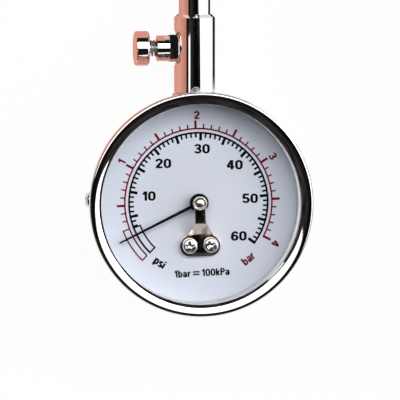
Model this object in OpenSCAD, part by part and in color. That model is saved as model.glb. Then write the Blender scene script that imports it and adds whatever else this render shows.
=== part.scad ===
// Dial tyre pressure gauge with a Bourdon tube movement, a bleed valve and a push-on chuck.
// It lies on its back: the dial faces +Z, the stem runs along +Y, and the origin is the
// centre of the flat back. All lengths are in millimetres.

/* [Case] */
// Outer radius of the lower cup
case_r = 24.4; // [24:0.1:30]
// Sheet thickness of the case
case_wall = 0.8; // [0.5:0.1:1]
// Radius of the rounded back edge
back_round = 2.5; // [1.5:0.1:4]
// Height of the ledge that carries the dial
ledge_z = 15.8; // [15.6:0.1:20]
// How far the upper section steps out to form the ledge
ledge_w = 0.7; // [0.5:0.1:1.5]
// Width of the flange that the bezel grips
flange_w = 0.8; // [0.6:0.1:1.5]

/* [Bezel and lens] */
// Sheet thickness of the bezel
bezel_sheet = 0.7; // [0.5:0.1:0.9]
// Radius of the bezel's front slope
slope_r = 3.5; // [3.2:0.1:3.9]
// Radius of the bezel's rolled outer edge
bead_r = 0.65; // [0.55:0.05:0.75]
// Height of the bezel's crown over the lens
crown_h = 1.5; // [1.4:0.1:1.8]
// Clear height between dial and lens
head_room = 5.5; // [5.4:0.1:8]
// Thickness of the lens
lens_t = 1.2; // [1:0.1:2]
// Thickness of the gasket under the lens
gasket_t = 0.4; // [0.3:0.1:0.8]
// Thickness of the spacer ring
ring_t = 0.6; // [0.4:0.1:1]

/* [Dial and pointer] */
// Thickness of the dial
dial_t = 0.6; // [0.4:0.1:1]
// Reach of the pointer from its axis to its tip
needle_len = 21.5; // [12:0.1:22.5]
// Width of the needle at the hub
needle_w = 0.7; // [0.5:0.05:1.2]
// Thickness of the needle
needle_t = 0.35; // [0.25:0.05:0.6]
// Radius of the pointer's hub
hub_r = 2.28; // [2:0.05:3]
// Direction of the needle at rest, counter-clockwise from +X
needle_rest = 206.4; // [190:0.1:220]
// Travel of the pointer from rest to full scale
needle_sweep = 243; // [200:1:250]

/* [Bridge] */
// Sheet thickness of the bridge
bridge_t = 0.8; // [0.6:0.05:0.9]
// Clear height of the bridge over the dial
bridge_h = 2.8; // [2.4:0.1:3.4]
// Radius of the bridge's round end
bridge_end_r = 1.72; // [1.5:0.02:2.2]
// Width of the bridge's neck
neck_w = 2.75; // [2:0.01:3]
// Length of the neck from the pointer's axis
neck_len = 4.75; // [3.5:0.05:5.5]
// Length of the sloping part
ramp_len = 2.9; // [2.5:0.05:3.2]
// Width of the bridge's foot
foot_w = 10; // [9.6:0.1:12]
// Depth of the bridge's foot
foot_d = 5.4; // [5:0.1:6]
// Distance from the pointer's axis to the line of the bridge screws
foot_y = 10.35; // [10.2:0.05:11.5]
// Spacing of the bridge screws
screw_gap = 5.1; // [4.6:0.02:5.2]
// Small turn of bridge and foot about the pointer's axis
bridge_turn = 2; // [0:0.1:4]
// Radius of the polished cap on the bridge
cap_r = 1.19; // [1.1:0.01:1.5]

/* [Screws] */
// Radius of a screw's shank
screw_r = 1; // [0.8:0.05:1.1]
// Radius of a screw's head
screw_head_r = 1.85; // [1.6:0.05:2.1]
// Height of a bridge screw's head
screw_head_h = 1.3; // [1:0.1:1.6]
// Height of a side screw's domed head
side_head_h = 1.9; // [1.2:0.1:2.2]

/* [Movement] */
// Thickness of the movement plate
plate_t = 1.2; // [1:0.1:1.3]
// Clear height under the movement plate
plate_gap = 1.2; // [1.1:0.1:1.6]
// Radius of the movement plate
plate_r = 14; // [13.8:0.1:15]
// Width of the plate's arms
arm_w = 9; // [7:0.1:11]
// Tooth module of the gear pair
gear_m = 0.3; // [0.29:0.005:0.31]
// Teeth on the pinion
pinion_n = 12; // [12:1:13]
// Teeth on a full circle of the sector gear
sector_n = 66; // [64:1:68]
// Thickness of the sector gear
sector_t = 1.2; // [0.8:0.1:1.4]
// Height of the sector gear over the plate
gear_lift = 2.8; // [2.4:0.1:3.2]
// Direction of the sector's stud from the pointer's axis
stud_dir = 188; // [184:1:192]
// Length of the sector's tail
tail_len = 3; // [2.6:0.1:3.2]
// Length of the link between its two pins
link_len = 6; // [5.6:0.1:6.6]
// Radius of the pointer's arbor
arbor_r = 0.7; // [0.6:0.05:0.8]
// Radius of the arbor's pivots
pivot_r = 0.45; // [0.35:0.05:0.5]

/* [Bourdon tube] */
// Radius of the tube's centre line
coil_r = 18.4; // [17.2:0.1:19.6]
// Height of the flattened tube
flat_h = 8; // [6.5:0.1:8.4]
// Width of the flattened tube
flat_w = 1.8; // [1.6:0.1:2.2]
// Wall of the tube
flat_wall = 0.35; // [0.25:0.05:0.5]
// Arc of the tube between its fixed and its free end
coil_arc = 264; // [258:1:268]

/* [Socket] */
// Height of the socket block
socket_h = 9.6; // [9.4:0.1:10.4]
// Width of the socket block
socket_w = 14; // [13:0.1:16]
// Reach of the socket block inside the tube's centre line
socket_y = 6; // [5:0.1:7]
// Radius of the socket's threaded spigot
spigot_r = 3.2; // [2.6:0.1:3.4]
// Length of the spigot inside the stem
spigot_len = 6.4; // [5:0.1:6.6]
// Radius of the air passage
air_r = 1.5; // [1:0.1:1.8]

/* [Stem] */
// Radius of the stem's body
stem_r = 4.95; // [4.8:0.05:5.2]
// Length of the stem's body
stem_len = 19.2; // [18.8:0.1:24]
// Radius of the stem's tube
tube_r = 3.8; // [3:0.1:3.9]
// Length of the tube in the open
tube_len = 47; // [20:1:90]
// Depth of the tube in its sockets
tube_seat = 5; // [3:0.1:5.5]
// Thickness of the washer at the case's crown
washer_t = 1.4; // [1:0.1:2]

/* [Bleed valve] */
// From the bleed valve's axis up to the end of the stem's tube
bleed_up = 3.2; // [2.6:0.1:3.8]
// Radius of the bleed button's head
button_r = 4.2; // [3:0.1:4.6]
// Thickness of the bleed button's head
button_t = 3.6; // [2.5:0.1:4.5]
// Travel of the bleed button
bleed_travel = 1.6; // [1:0.1:1.7]
// Length of the valve body outside the stem
bleed_len = 4.95; // [4.7:0.05:6]
// Radius of the valve body's barrel
barrel_r = 3.1; // [2.9:0.1:3.2]
// Radius of the button's rod
rod_r = 0.95; // [0.8:0.05:1]

/* [Chuck] */
// Length of the chuck's body
chuck_len = 14.5; // [14:0.1:20]
// Radius of the nose cap
nose_r = 7.4; // [7.2:0.1:7.8]
// Radius of the mouth that takes the tyre valve
mouth_r = 4.15; // [4:0.05:4.4]
// Depth of the mouth down to the seal
mouth_len = 6; // [4:0.1:8]
// Thickness of the rubber seal
seal_t = 2.5; // [2:0.1:4]
// Radius of the hole in the seal
seal_hole_r = 2; // [1.6:0.1:2.4]

/* [Clearances] */
// Radial clearance of turning and sliding fits
run_fit = 0.05; // [0.03:0.01:0.08]
// Clearance of fixed joints
seat_fit = 0.1; // [0.05:0.01:0.12]

/* [Hidden] */
$fn = 96;
// Overlap of cuts and of bodies that are joined
over = 1;

// Heights
plate_z = case_wall + plate_gap;
plate_top = plate_z + plate_t;
stem_z = plate_top + socket_h / 2;
gear_z = plate_top + gear_lift;
sector_top = gear_z + sector_t;
clip_t = 0.4;
link_t = 0.6;
link_z = sector_top + clip_t + 3 * seat_fit;
link_top = link_z + link_t;
dial_top = ledge_z + dial_t;
lens_z = dial_top + head_room;
lens_top = lens_z + lens_t;
rim_z = lens_z - gasket_t;
bridge_z = dial_top + bridge_h;
bridge_top = bridge_z + bridge_t;

// Radii of case and bezel
case_in_r = case_r - case_wall;
upper_in_r = case_in_r + ledge_w;
upper_r = upper_in_r + case_wall;
flange_r = upper_r + flange_w;
flange_z = rim_z - case_wall;
skirt_in_r = flange_r + seat_fit;
lip_over = 0.24;
lip_r = upper_in_r - lip_over;
bead_over = 0.3;
crown_r = skirt_in_r + bezel_sheet + bead_over - bead_r;
bezel_top = lens_top + crown_h;
bead_z = bezel_top - bead_r;
crimp_w = 0.7;
skirt_z = flange_z - bezel_sheet;
lens_r = skirt_in_r - 2 * seat_fit;
ring_r = upper_in_r - seat_fit / 2;
dial_r = upper_in_r - 2 * seat_fit;
dial_hole_r = 1.6;

// Gear pair: the sector turns about its stud and drives the pinion on the arbor
press_angle = 25;
tooth_add = 0.8;
tooth_ded = 1.1;
backlash = 0.05;
flank_steps = 4;
axis_gap = gear_m * (pinion_n + sector_n) / 2;
stud = axis_gap * dir(stud_dir);
sector_sweep = needle_sweep * pinion_n / sector_n;
sector_rest = stud_dir - 180 - sector_sweep / 2;
spare_teeth = 2;
sector_half = ceil(sector_sweep / 2 * sector_n / 360) + spare_teeth;
sector_hub_r = 2.2;
sector_rim = 1.2;
window_share = 0.6;
stud_r = 1;
stud_base_r = 1.6;
clip_r = 1.5;
clip_slot = 1.6;
pinion_over = 0.3;
pinion_t = sector_t + 2 * pinion_over;

// Link: at rest the tail points up and to the left, at full scale down and to the left
pin_r = 0.5;
lug_r = 1;
bar_w = 1.2;
tail_rest = 180 - sector_sweep / 2;
tail_pin = stud + tail_len * dir(tail_rest);
pin_sway = tail_len * (1 - cos(sector_sweep / 2));
tip_pin = tail_pin + [0, link_len];
pin_head = 0.5;

// Bourdon tube, from its end in the socket clockwise to its tip
coil_fixed = 72;
socket_dip = 20;
socket_in = coil_r - socket_y;
spigot_root = 2;
port_r = 1;
plate_screw_in = 2.5;
coil_tip = coil_fixed - coil_arc + 360;
tip_wrap = 8;
tip_over = 4;
tip_wall = 0.5;

// Arbor, hairspring and their carriers
bush_r = 1.6;
bush_over = 0.5;
arbor_gap = 0.2;
arbor_z = plate_top + bush_over + arbor_gap;
hub_gap = 0.8;
hub_t = 0.6;
hub_top = bridge_z - hub_gap;
collet_r = 1.3;
hair_lift = 2;
hair_z = sector_top + hair_lift;
hair_h = 0.6;
hair_t = 0.12;
hair_turns = 5;
hair_out_r = 5.2;
hair_steps = 120;
post_r = 0.9;
post_y = -0.4;

// Bridge, pillars and screws
pillar_r = 1.7;
screw_len = 6;
foot_lift = 0.05;
ramp_angle = atan2(bridge_h, ramp_len);
ramp_shift = bridge_t * tan(ramp_angle / 2);
cap_h = 0.45;
cap_shank_r = 0.9;
collar_h = 0.22;
collar_r = bridge_end_r - run_fit;
head_round = 0.55;
cross_w = 0.75;
cross_d = 0.8;
cross_share = 0.73;
cross_well = 0.46;

// Side screws through the case into the plate's tabs
tab_t = 1.1;
tab_h = 7;
side_up = 4;
side_z = plate_z + side_up;
tab_in_r = case_in_r - seat_fit - tab_t;

// Stem, washer and bleed valve
stem_y = case_r + washer_t;
stem_top = stem_y + stem_len;
washer_rim = 0.45;
washer_r = stem_r + washer_rim;
stem_edge = 0.8;
bleed_y = stem_top - tube_seat - bleed_up;
face_cut = 0.7;
face_u = stem_r - face_cut;
face_r = 4.05;
shank_r = 2;
seat_u = 1.7;
hex_t = 2;
hex_r = 3.7;
barrel_u = face_u + bleed_len;
chamber_r = 2.3;
chamber_depth = 2.6;
chamber_u = barrel_u - chamber_depth;
guide_t = 1;
vent_r = 0.5;
vent_u = face_u + hex_t / 2 - seat_fit;
air_gap = 0.4;
air_gap_r = rod_r + air_gap;
button_gap = 0.3;
button_u = barrel_u + bleed_travel + button_gap;
button_round = 0.7;
boss_r = 1.3;
boss_h = 0.9;
valve_gap = 0.05;
valve_seal_t = 0.75;
valve_seal_r = 1.75;
poppet_t = 0.7;
rivet_t = 0.3;
spring_r = 1.8;
spring_wire = 0.22;
spring_turns = 5.5;

// Chuck: as thick as the stem's axis is high, so the gauge lies on its back and its chuck
chuck_r = stem_z;
chuck_y = stem_top + tube_len;
chuck_neck_r = 5.6;
chuck_neck = 3;
chuck_cone = 3.5;
groove_n = 3;
groove_w = 0.8;
groove_d = 0.5;
nose_in_r = 6.3;
spigot_front_r = nose_in_r - seat_fit;
chuck_front = 3.5;
seal_y = chuck_y + chuck_len + chuck_front;
mouth_y = seal_y + seal_t;
nose_y = mouth_y + mouth_len;
well_r = 3.4;
well_depth = 7;
disc_t = 1.5;
disc_holes = 3;
disc_hole_r = 0.7;
depressor_r = 0.9;
tip_gap = 0.3;

function dir(a) = [cos(a), sin(a)];

// Involute tooth: half its angle at radius r, on a gear of n teeth
function involute(a) = tan(a) * 180 / PI - a;
function pitch_r(n) = gear_m * n / 2;
function base_r(n) = pitch_r(n) * cos(press_angle);
function tip_r(n) = pitch_r(n) + tooth_add * gear_m;
function root_r(n) = pitch_r(n) - tooth_ded * gear_m;
function tooth_half(n, r) =
    90 / n - backlash / pitch_r(n) * 90 / PI + involute(press_angle)
    - involute(acos(min(1, base_r(n) / max(r, base_r(n)))));
function flank(n, side, at) = [
    for (k = [0 : flank_steps])
        let (r = root_r(n) + (tip_r(n) - root_r(n)) * k / flank_steps)
        r * dir(at + side * tooth_half(n, r))
];
function reversed(list) = [for (k = [len(list) - 1 : -1 : 0]) list[k]];
function tooth(n, at) = concat(flank(n, -1, at), reversed(flank(n, 1, at)));
function teeth(n, first, last) = [
    for (k = [first : last]) each tooth(n, k * 360 / n)
];

// Places that several pieces share
module on_stem(y) { translate([0, y, stem_z]) rotate([-90, 0, 0]) children(); }
module on_bleed() { translate([0, bleed_y, stem_z]) rotate([0, -90, 0]) children(); }
module at_foot() {
    rotate(bridge_turn)
        for (side = [-1, 1]) translate([side * screw_gap / 2, -foot_y]) children();
}
module at_plate_screws() {
    for (side = [-1, 1]) translate([side * socket_w / 3, socket_in + plate_screw_in]) children();
}
module at_sides() {
    for (a = [0, 180]) rotate(a) translate([case_r, 0, side_z]) rotate([0, 90, 0]) children();
}

// Ring between two radii and two heights
module ring(r_in, r_out, z0, z1) {
    translate([0, 0, z0])
        rotate_extrude() translate([r_in, 0]) square([r_out - r_in, z1 - z0]);
}

// Half section of a cup with a rounded bottom edge
module cup_section(r, z0, z1, round_r) {
    translate([0, z0]) square([r - round_r, z1 - z0]);
    translate([0, z0 + round_r]) square([r, z1 - z0 - round_r]);
    translate([r - round_r, z0 + round_r]) intersection() {
        circle(round_r);
        translate([0, -round_r]) square(round_r);
    }
}

// Pan head with a cross recess, standing on z = 0
module pan_head(h) {
    edge = h * head_round;
    difference() {
        rotate_extrude() {
            square([screw_head_r - edge, h]);
            square([screw_head_r, h - edge]);
            translate([screw_head_r - edge, h - edge]) intersection() {
                circle(edge);
                square(edge);
            }
        }
        for (a = [0, 90]) rotate(a)
            translate([-cross_share * screw_head_r, -cross_w / 2, h - cross_d])
                cube([2 * cross_share * screw_head_r, cross_w, cross_d + over]);
        translate([0, 0, h - cross_d])
            cylinder(r1 = cross_w / 2, r2 = cross_well * screw_head_r, h = cross_d + seat_fit);
    }
}

module case() {
    color("silver") difference() {
        rotate_extrude() difference() {
            union() {
                cup_section(case_r, 0, ledge_z - case_wall, back_round);
                translate([0, ledge_z - case_wall]) square([upper_r, rim_z - ledge_z + case_wall]);
                translate([0, flange_z]) square([flange_r, case_wall]);
            }
            cup_section(case_in_r, case_wall, ledge_z, back_round - case_wall);
            translate([0, ledge_z]) square([upper_in_r, rim_z]);
        }
        on_stem(0) cylinder(r = spigot_r + seat_fit, h = 2 * case_r);
        at_sides() translate([0, 0, -2 * case_wall]) cylinder(r = screw_r + seat_fit, h = 4 * case_wall);
    }
}

// Front slope from the lip on the lens up to the crown, rolled edge, skirt and crimp
module bezel() {
    color("gainsboro") rotate_extrude() {
        intersection() {
            translate([crown_r, bezel_top - slope_r]) difference() {
                circle(slope_r);
                circle(slope_r - bezel_sheet);
            }
            translate([lip_r, lens_top]) square([crown_r - lip_r, crown_h + over]);
        }
        intersection() {
            translate([crown_r, bead_z]) circle(bead_r);
            translate([skirt_in_r, skirt_z]) square([2 * bead_r, bezel_top]);
        }
        translate([skirt_in_r, skirt_z]) square([bezel_sheet, bead_z - skirt_z]);
        translate([skirt_in_r - crimp_w, skirt_z]) square([crimp_w + bezel_sheet, bezel_sheet]);
    }
}

module lens() {
    color("lightcyan", 0.3) translate([0, 0, lens_z]) cylinder(r = lens_r, h = lens_t);
}

module lens_gasket() {
    color("dimgray") ring(upper_in_r, flange_r, rim_z, lens_z);
}

module spacer_ring() {
    color("whitesmoke") ring(ring_r - ring_t, ring_r, dial_top, lens_z);
}

module dial() {
    color("aliceblue") difference() {
        translate([0, 0, ledge_z]) cylinder(r = dial_r, h = dial_t);
        cylinder(r = dial_hole_r, h = lens_z);
        at_foot() cylinder(r = screw_r + seat_fit, h = lens_z);
    }
}

module side_screws() {
    color("silver") at_sides() {
        translate([0, 0, seat_fit]) pan_head(side_head_h);
        translate([0, 0, -(case_wall + seat_fit + tab_t)])
            cylinder(r = screw_r, h = case_wall + 2 * seat_fit + tab_t);
    }
}

// Its foot follows the round case, its top is flat for the stem
module case_washer() {
    color("silver") difference() {
        on_stem(case_in_r - over) cylinder(r = washer_r, h = stem_y - case_in_r + over);
        cylinder(r = case_r + run_fit, h = 2 * stem_z);
        on_stem(0) cylinder(r = spigot_r + seat_fit, h = 2 * case_r);
    }
}

module movement_plate() {
    color("goldenrod") difference() {
        union() {
            translate([0, 0, plate_z]) intersection() {
                union() {
                    cylinder(r = plate_r, h = plate_t);
                    translate([-case_r, -arm_w / 2]) cube([2 * case_r, arm_w, plate_t]);
                    translate([-socket_w / 2, 0]) cube([socket_w, case_r, plate_t]);
                }
                cylinder(r = case_in_r - seat_fit, h = plate_t);
            }
            intersection() {
                ring(tab_in_r, case_in_r - seat_fit, plate_z, plate_z + tab_h);
                translate([-case_r, -arm_w / 2, plate_z]) cube([2 * case_r, arm_w, tab_h]);
            }
        }
        at_sides() translate([0, 0, -case_wall - 2 * tab_t])
            cylinder(r = screw_r + seat_fit, h = 3 * tab_t);
        at_foot() cylinder(r = screw_r + seat_fit, h = stem_z);
        at_plate_screws() cylinder(r = screw_r + seat_fit, h = stem_z);
        translate(stud) cylinder(r = stud_r + run_fit, h = stem_z);
        translate([hair_out_r + post_r, post_y]) cylinder(r = post_r / 2 + run_fit, h = stem_z);
        cylinder(r = bush_r + run_fit, h = stem_z);
    }
}

// Flat heads under the plate, shanks up into the socket
module plate_screws() {
    color("silver") at_plate_screws() {
        translate([0, 0, plate_z - plate_gap + 2 * seat_fit])
            cylinder(r = screw_head_r, h = plate_gap - 2 * seat_fit);
        translate([0, 0, plate_z - seat_fit]) cylinder(r = screw_r, h = screw_len);
    }
}

module bridge_pillars() {
    color("goldenrod") at_foot() difference() {
        union() {
            translate([0, 0, plate_top]) cylinder(r = pillar_r, h = ledge_z - plate_top);
            translate([0, 0, plate_z]) cylinder(r = screw_r, h = plate_t + over);
        }
        translate([0, 0, dial_top + bridge_t - screw_len - over])
            cylinder(r = screw_r + seat_fit, h = stem_z);
    }
}

module rear_bush() {
    color("goldenrod") ring(pivot_r + run_fit, bush_r, plate_z, plate_top + bush_over);
}

// Outline of the flattened tube, grown by g, standing at the coil's radius
module tube_section(g) {
    w = flat_w + 2 * g;
    h = flat_h + 2 * g;
    translate([coil_r, stem_z]) {
        square([w, h - w], center = true);
        for (side = [-1, 1]) translate([0, side * (h - w) / 2]) circle(w / 2);
    }
}

module tube_arc(g, a0, a1) {
    rotate(a0) rotate_extrude(angle = a1 - a0) tube_section(g);
}

module socket_block() {
    color("goldenrod") difference() {
        union() {
            intersection() {
                translate([-socket_w / 2, socket_in, plate_top]) cube([socket_w, case_r, socket_h]);
                cylinder(r = case_in_r - seat_fit, h = 2 * stem_z);
            }
            on_stem(case_in_r - spigot_root)
                cylinder(r = spigot_r, h = stem_y + spigot_len - case_in_r + spigot_root);
        }
        tube_arc(seat_fit, coil_fixed - socket_dip, coil_fixed);
        on_stem(coil_r - air_r) cylinder(r = air_r, h = case_r);
        translate([0, coil_r - air_r, stem_z]) rotate([0, 90, 0])
            cylinder(r = port_r, h = coil_r * cos(coil_fixed));
        at_plate_screws() cylinder(r = screw_r + seat_fit, h = plate_z + screw_len + seat_fit);
    }
}

module bourdon_tube() {
    color("darkgoldenrod") rotate(coil_tip) rotate_extrude(angle = coil_arc) difference() {
        tube_section(0);
        tube_section(-flat_wall);
    }
}

// Solder cap on the tube's free end, with a lug and a pin for the link
module tip_block() {
    block_h = flat_h + 2 * (tip_wall + seat_fit);
    block_w = flat_w + 2 * (tip_wall + seat_fit);
    root = coil_r * dir(coil_tip - tip_over / 2);
    reach = norm(root - tip_pin);
    color("goldenrod") difference() {
        union() {
            rotate(coil_tip - tip_over) rotate_extrude(angle = tip_over + tip_wrap)
                translate([coil_r, stem_z]) square([block_w, block_h], center = true);
            translate([tip_pin.x, tip_pin.y, gear_z]) {
                cylinder(r = lug_r, h = sector_t);
                cylinder(r = pin_r, h = link_top + pin_head - gear_z);
                rotate(atan2(root.y - tip_pin.y, root.x - tip_pin.x))
                    translate([0, -lug_r]) cube([reach, 2 * lug_r, sector_t]);
            }
        }
        tube_arc(seat_fit, coil_tip - seat_fit, coil_tip + 2 * tip_wrap);
    }
}

// The lower hole is a slot, because the tail's pin swings a little sideways
module link_bar() {
    color("goldenrod") translate([tail_pin.x, tail_pin.y, link_z]) linear_extrude(link_t) difference() {
        union() {
            for (x = [0, -pin_sway]) translate([x, 0]) circle(lug_r);
            translate([-pin_sway, -lug_r]) square([pin_sway, 2 * lug_r]);
            translate([-bar_w / 2, 0]) square([bar_w, link_len]);
            translate([0, link_len]) circle(lug_r);
        }
        for (x = [0, -pin_sway]) translate([x, 0]) circle(pin_r + 2 * seat_fit);
        translate([-pin_sway, -pin_r - 2 * seat_fit]) square([pin_sway, 2 * pin_r + 4 * seat_fit]);
        translate([0, link_len]) circle(pin_r + run_fit);
    }
}

module link_pin() {
    color("silver") translate([tail_pin.x, tail_pin.y, gear_z])
        cylinder(r = pin_r, h = link_top + pin_head - gear_z);
}

// Toothed sector with a window, a hub and a tail
module sector_gear() {
    window = window_share * (sector_half + 0.5) * 360 / sector_n;
    rim_r = root_r(sector_n) - sector_rim;
    color("goldenrod") translate([stud.x, stud.y, gear_z]) linear_extrude(sector_t) difference() {
        union() {
            rotate(sector_rest)
                polygon(concat([[0, 0]], teeth(sector_n, -sector_half, sector_half)));
            circle(sector_hub_r);
            rotate(tail_rest) translate([0, -lug_r]) square([tail_len, 2 * lug_r]);
            translate(tail_pin - stud) circle(lug_r);
        }
        rotate(sector_rest) intersection() {
            difference() {
                circle(rim_r);
                circle(sector_hub_r + sector_rim);
            }
            polygon([[0, 0], 2 * rim_r * dir(-window), 2 * rim_r * dir(window)]);
        }
        circle(stud_r + run_fit);
        translate(tail_pin - stud) circle(pin_r);
    }
}

module sector_stud() {
    color("silver") translate([stud.x, stud.y, 0]) {
        translate([0, 0, plate_z])
            cylinder(r = stud_r, h = sector_top + 2 * seat_fit + 2 * clip_t - plate_z);
        translate([0, 0, plate_top]) cylinder(r = stud_base_r, h = gear_lift - seat_fit);
    }
}

module sector_clip() {
    color("dimgray") translate([stud.x, stud.y, 0]) difference() {
        ring(stud_r + run_fit / 2, clip_r, sector_top + seat_fit, sector_top + seat_fit + clip_t);
        translate([-clip_slot / 2, -2 * clip_r, 0]) cube([clip_slot, 2 * clip_r, stem_z + link_top]);
    }
}

// Shaft with its pinion, a collet for the hairspring and a pivot at each end
module pinion_arbor() {
    gap_turn = (pinion_n % 2 == 0) ? 180 / pinion_n : 0;
    pinion_rest = stud_dir + gap_turn + sector_sweep / 2 * sector_n / pinion_n;
    color("silver") {
        translate([0, 0, plate_z + seat_fit])
            cylinder(r = pivot_r, h = bridge_top - plate_z - 2 * seat_fit);
        translate([0, 0, arbor_z]) cylinder(r = arbor_r, h = hub_top - arbor_z);
        translate([0, 0, gear_z - pinion_over]) rotate(pinion_rest)
            linear_extrude(pinion_t) polygon(teeth(pinion_n, 0, pinion_n - 1));
        translate([0, 0, hair_z - hair_h / 2]) cylinder(r = collet_r, h = 2 * hair_h);
    }
}

// Flat spiral from the collet out to its post
module hairspring() {
    in_r = collet_r + hair_t / 2 + run_fit;
    function at(k, g) =
        let (f = k / hair_steps) (in_r + (hair_out_r - in_r) * f + g) * dir(360 * hair_turns * f);
    color("steelblue") translate([0, 0, hair_z]) linear_extrude(hair_h) polygon(concat(
        [for (k = [0 : hair_steps]) at(k, hair_t / 2)],
        [for (k = [hair_steps : -1 : 0]) at(k, -hair_t / 2)]
    ));
}

module hairspring_post() {
    color("goldenrod") translate([hair_out_r + post_r, post_y]) {
        translate([0, 0, plate_z]) cylinder(r = post_r / 2, h = plate_t + over);
        translate([0, 0, plate_top]) cylinder(r = post_r - seat_fit, h = hair_z + 2 * hair_h - plate_top);
    }
}

// Bent strap: its side profile cut to the outline seen from the front
module bridge() {
    foot_r = foot_d / 2;
    foot_mid = -foot_y - foot_lift;
    foot_end = foot_mid - foot_d;
    ramp_y = -neck_len - ramp_len;
    ramp_w = foot_w - 2 * screw_head_r;
    top = bridge_top + over;
    color("silver") rotate(bridge_turn) difference() {
        intersection() {
            rotate([90, 0, 90]) translate([0, 0, -foot_w]) linear_extrude(2 * foot_w) polygon([
                [2 * bridge_end_r, bridge_z], [2 * bridge_end_r, bridge_top],
                [-neck_len, bridge_top], [ramp_y, dial_top + bridge_t],
                [foot_end, dial_top + bridge_t], [foot_end, dial_top],
                [ramp_y + ramp_shift, dial_top], [-neck_len + ramp_shift, bridge_z]
            ]);
            union() {
                cylinder(r = bridge_end_r, h = top);
                translate([-neck_w / 2, ramp_y]) cube([neck_w, -ramp_y, top]);
                linear_extrude(top) polygon([
                    [-neck_w / 2, -neck_len], [neck_w / 2, -neck_len],
                    [ramp_w / 2, ramp_y], [ramp_w / 2, foot_mid],
                    [-ramp_w / 2, foot_mid], [-ramp_w / 2, ramp_y]
                ]);
                for (side = [-1, 1])
                    translate([side * (foot_w / 2 - foot_r), foot_mid]) cylinder(r = foot_r, h = top);
                translate([-foot_w / 2 + foot_r, foot_mid - foot_r]) cube([foot_w - foot_d, foot_d, top]);
            }
        }
        cylinder(r = cap_shank_r + run_fit, h = 2 * bridge_top);
        rotate(-bridge_turn) at_foot() cylinder(r = screw_r + seat_fit, h = bridge_z);
    }
}

// Blind bearing with a polished dome in a coned collar
module pivot_cap() {
    dome_r = (cap_r * cap_r + cap_h * cap_h) / (2 * cap_h);
    color("white") difference() {
        union() {
            translate([0, 0, bridge_z]) cylinder(r = cap_shank_r, h = bridge_t + seat_fit);
            translate([0, 0, bridge_top]) cylinder(r1 = collar_r, r2 = cap_r, h = collar_h);
            translate([0, 0, bridge_top]) intersection() {
                translate([0, 0, cap_h - dome_r]) sphere(dome_r);
                cylinder(r = 2 * cap_r, h = cap_h);
            }
        }
        translate([0, 0, bridge_z - over]) cylinder(r = pivot_r + run_fit, h = bridge_t + over + seat_fit);
    }
}

module bridge_screws() {
    color("silver") at_foot() translate([0, 0, dial_top + bridge_t]) {
        pan_head(screw_head_h);
        translate([0, 0, -screw_len]) cylinder(r = screw_r, h = screw_len);
    }
}

module pointer() {
    color("black") difference() {
        translate([0, 0, hub_top - hub_t]) {
            cylinder(r = hub_r, h = hub_t);
            rotate(needle_rest) linear_extrude(needle_t) polygon([
                [0, -needle_w / 2], [needle_len, -needle_w / 4],
                [needle_len, needle_w / 4], [0, needle_w / 2]
            ]);
        }
        cylinder(r = arbor_r + run_fit, h = lens_z);
    }
}

module stem_body() {
    color("gainsboro") difference() {
        on_stem(stem_y) rotate_extrude() polygon([
            [0, 0], [stem_r - stem_edge / 2, 0], [stem_r, stem_edge / 2],
            [stem_r, stem_len - stem_edge], [stem_r - stem_edge, stem_len], [0, stem_len]
        ]);
        on_stem(0) cylinder(r = spigot_r + seat_fit, h = stem_y + spigot_len + seat_fit);
        on_stem(stem_y) cylinder(r = air_r, h = stem_len);
        on_stem(stem_top - tube_seat) cylinder(r = tube_r + seat_fit, h = 2 * tube_seat);
        on_bleed() {
            translate([0, 0, face_u]) cylinder(r1 = face_r, r2 = face_r + stem_r, h = stem_r);
            translate([0, 0, -seat_u - bleed_travel / 4])
                cylinder(r = shank_r + seat_fit / 2, h = 2 * stem_r);
        }
    }
}

module stem_tube() {
    color("gainsboro") on_stem(stem_top - tube_seat) difference() {
        cylinder(r = tube_r, h = tube_len + 2 * tube_seat);
        translate([0, 0, -over]) cylinder(r = air_r, h = tube_len + 2 * tube_seat + 2 * over);
    }
}

module bleed_body() {
    color("gainsboro") on_bleed() difference() {
        union() {
            translate([0, 0, seat_u]) cylinder(r = shank_r, h = face_u - seat_u + over);
            translate([0, 0, face_u]) cylinder(r = hex_r, h = hex_t, $fn = 6);
            translate([0, 0, face_u + hex_t - over])
                cylinder(r = barrel_r, h = barrel_u - face_u - hex_t + over);
        }
        translate([0, 0, seat_u - over]) cylinder(r = rod_r + run_fit, h = 2 * barrel_u);
        translate([0, 0, seat_u - over]) cylinder(r = air_gap_r, h = chamber_u - guide_t - seat_u + over);
        translate([0, 0, chamber_u]) cylinder(r = chamber_r, h = bleed_len);
        translate([0, 0, vent_u]) rotate([90, 0, 0]) cylinder(r = vent_r, h = 2 * hex_r);
    }
}

module bleed_button() {
    rod_end = seat_u - valve_gap - valve_seal_t - poppet_t - rivet_t;
    color("gainsboro") on_bleed() {
        translate([0, 0, button_u]) rotate_extrude() {
            square([button_r - button_round, button_t]);
            translate([0, button_round]) square([button_r, button_t - 2 * button_round]);
            for (z = [button_round, button_t - button_round])
                translate([button_r - button_round, z]) intersection() {
                    circle(button_round);
                    translate([0, -button_round]) square([button_round, 2 * button_round]);
                }
        }
        translate([0, 0, button_u - boss_h]) cylinder(r = boss_r, h = boss_h + over);
        translate([0, 0, rod_end]) cylinder(r = rod_r, h = button_u + over - rod_end);
    }
}

module bleed_poppet() {
    poppet_u = seat_u - valve_gap - valve_seal_t - poppet_t;
    color("goldenrod") on_bleed()
        ring(rod_r + run_fit, valve_seal_r - seat_fit, poppet_u, poppet_u + poppet_t);
}

module bleed_seal() {
    seal_u = seat_u - valve_gap - valve_seal_t;
    color("dimgray") on_bleed() ring(rod_r + run_fit, valve_seal_r, seal_u, seal_u + valve_seal_t);
}

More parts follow.
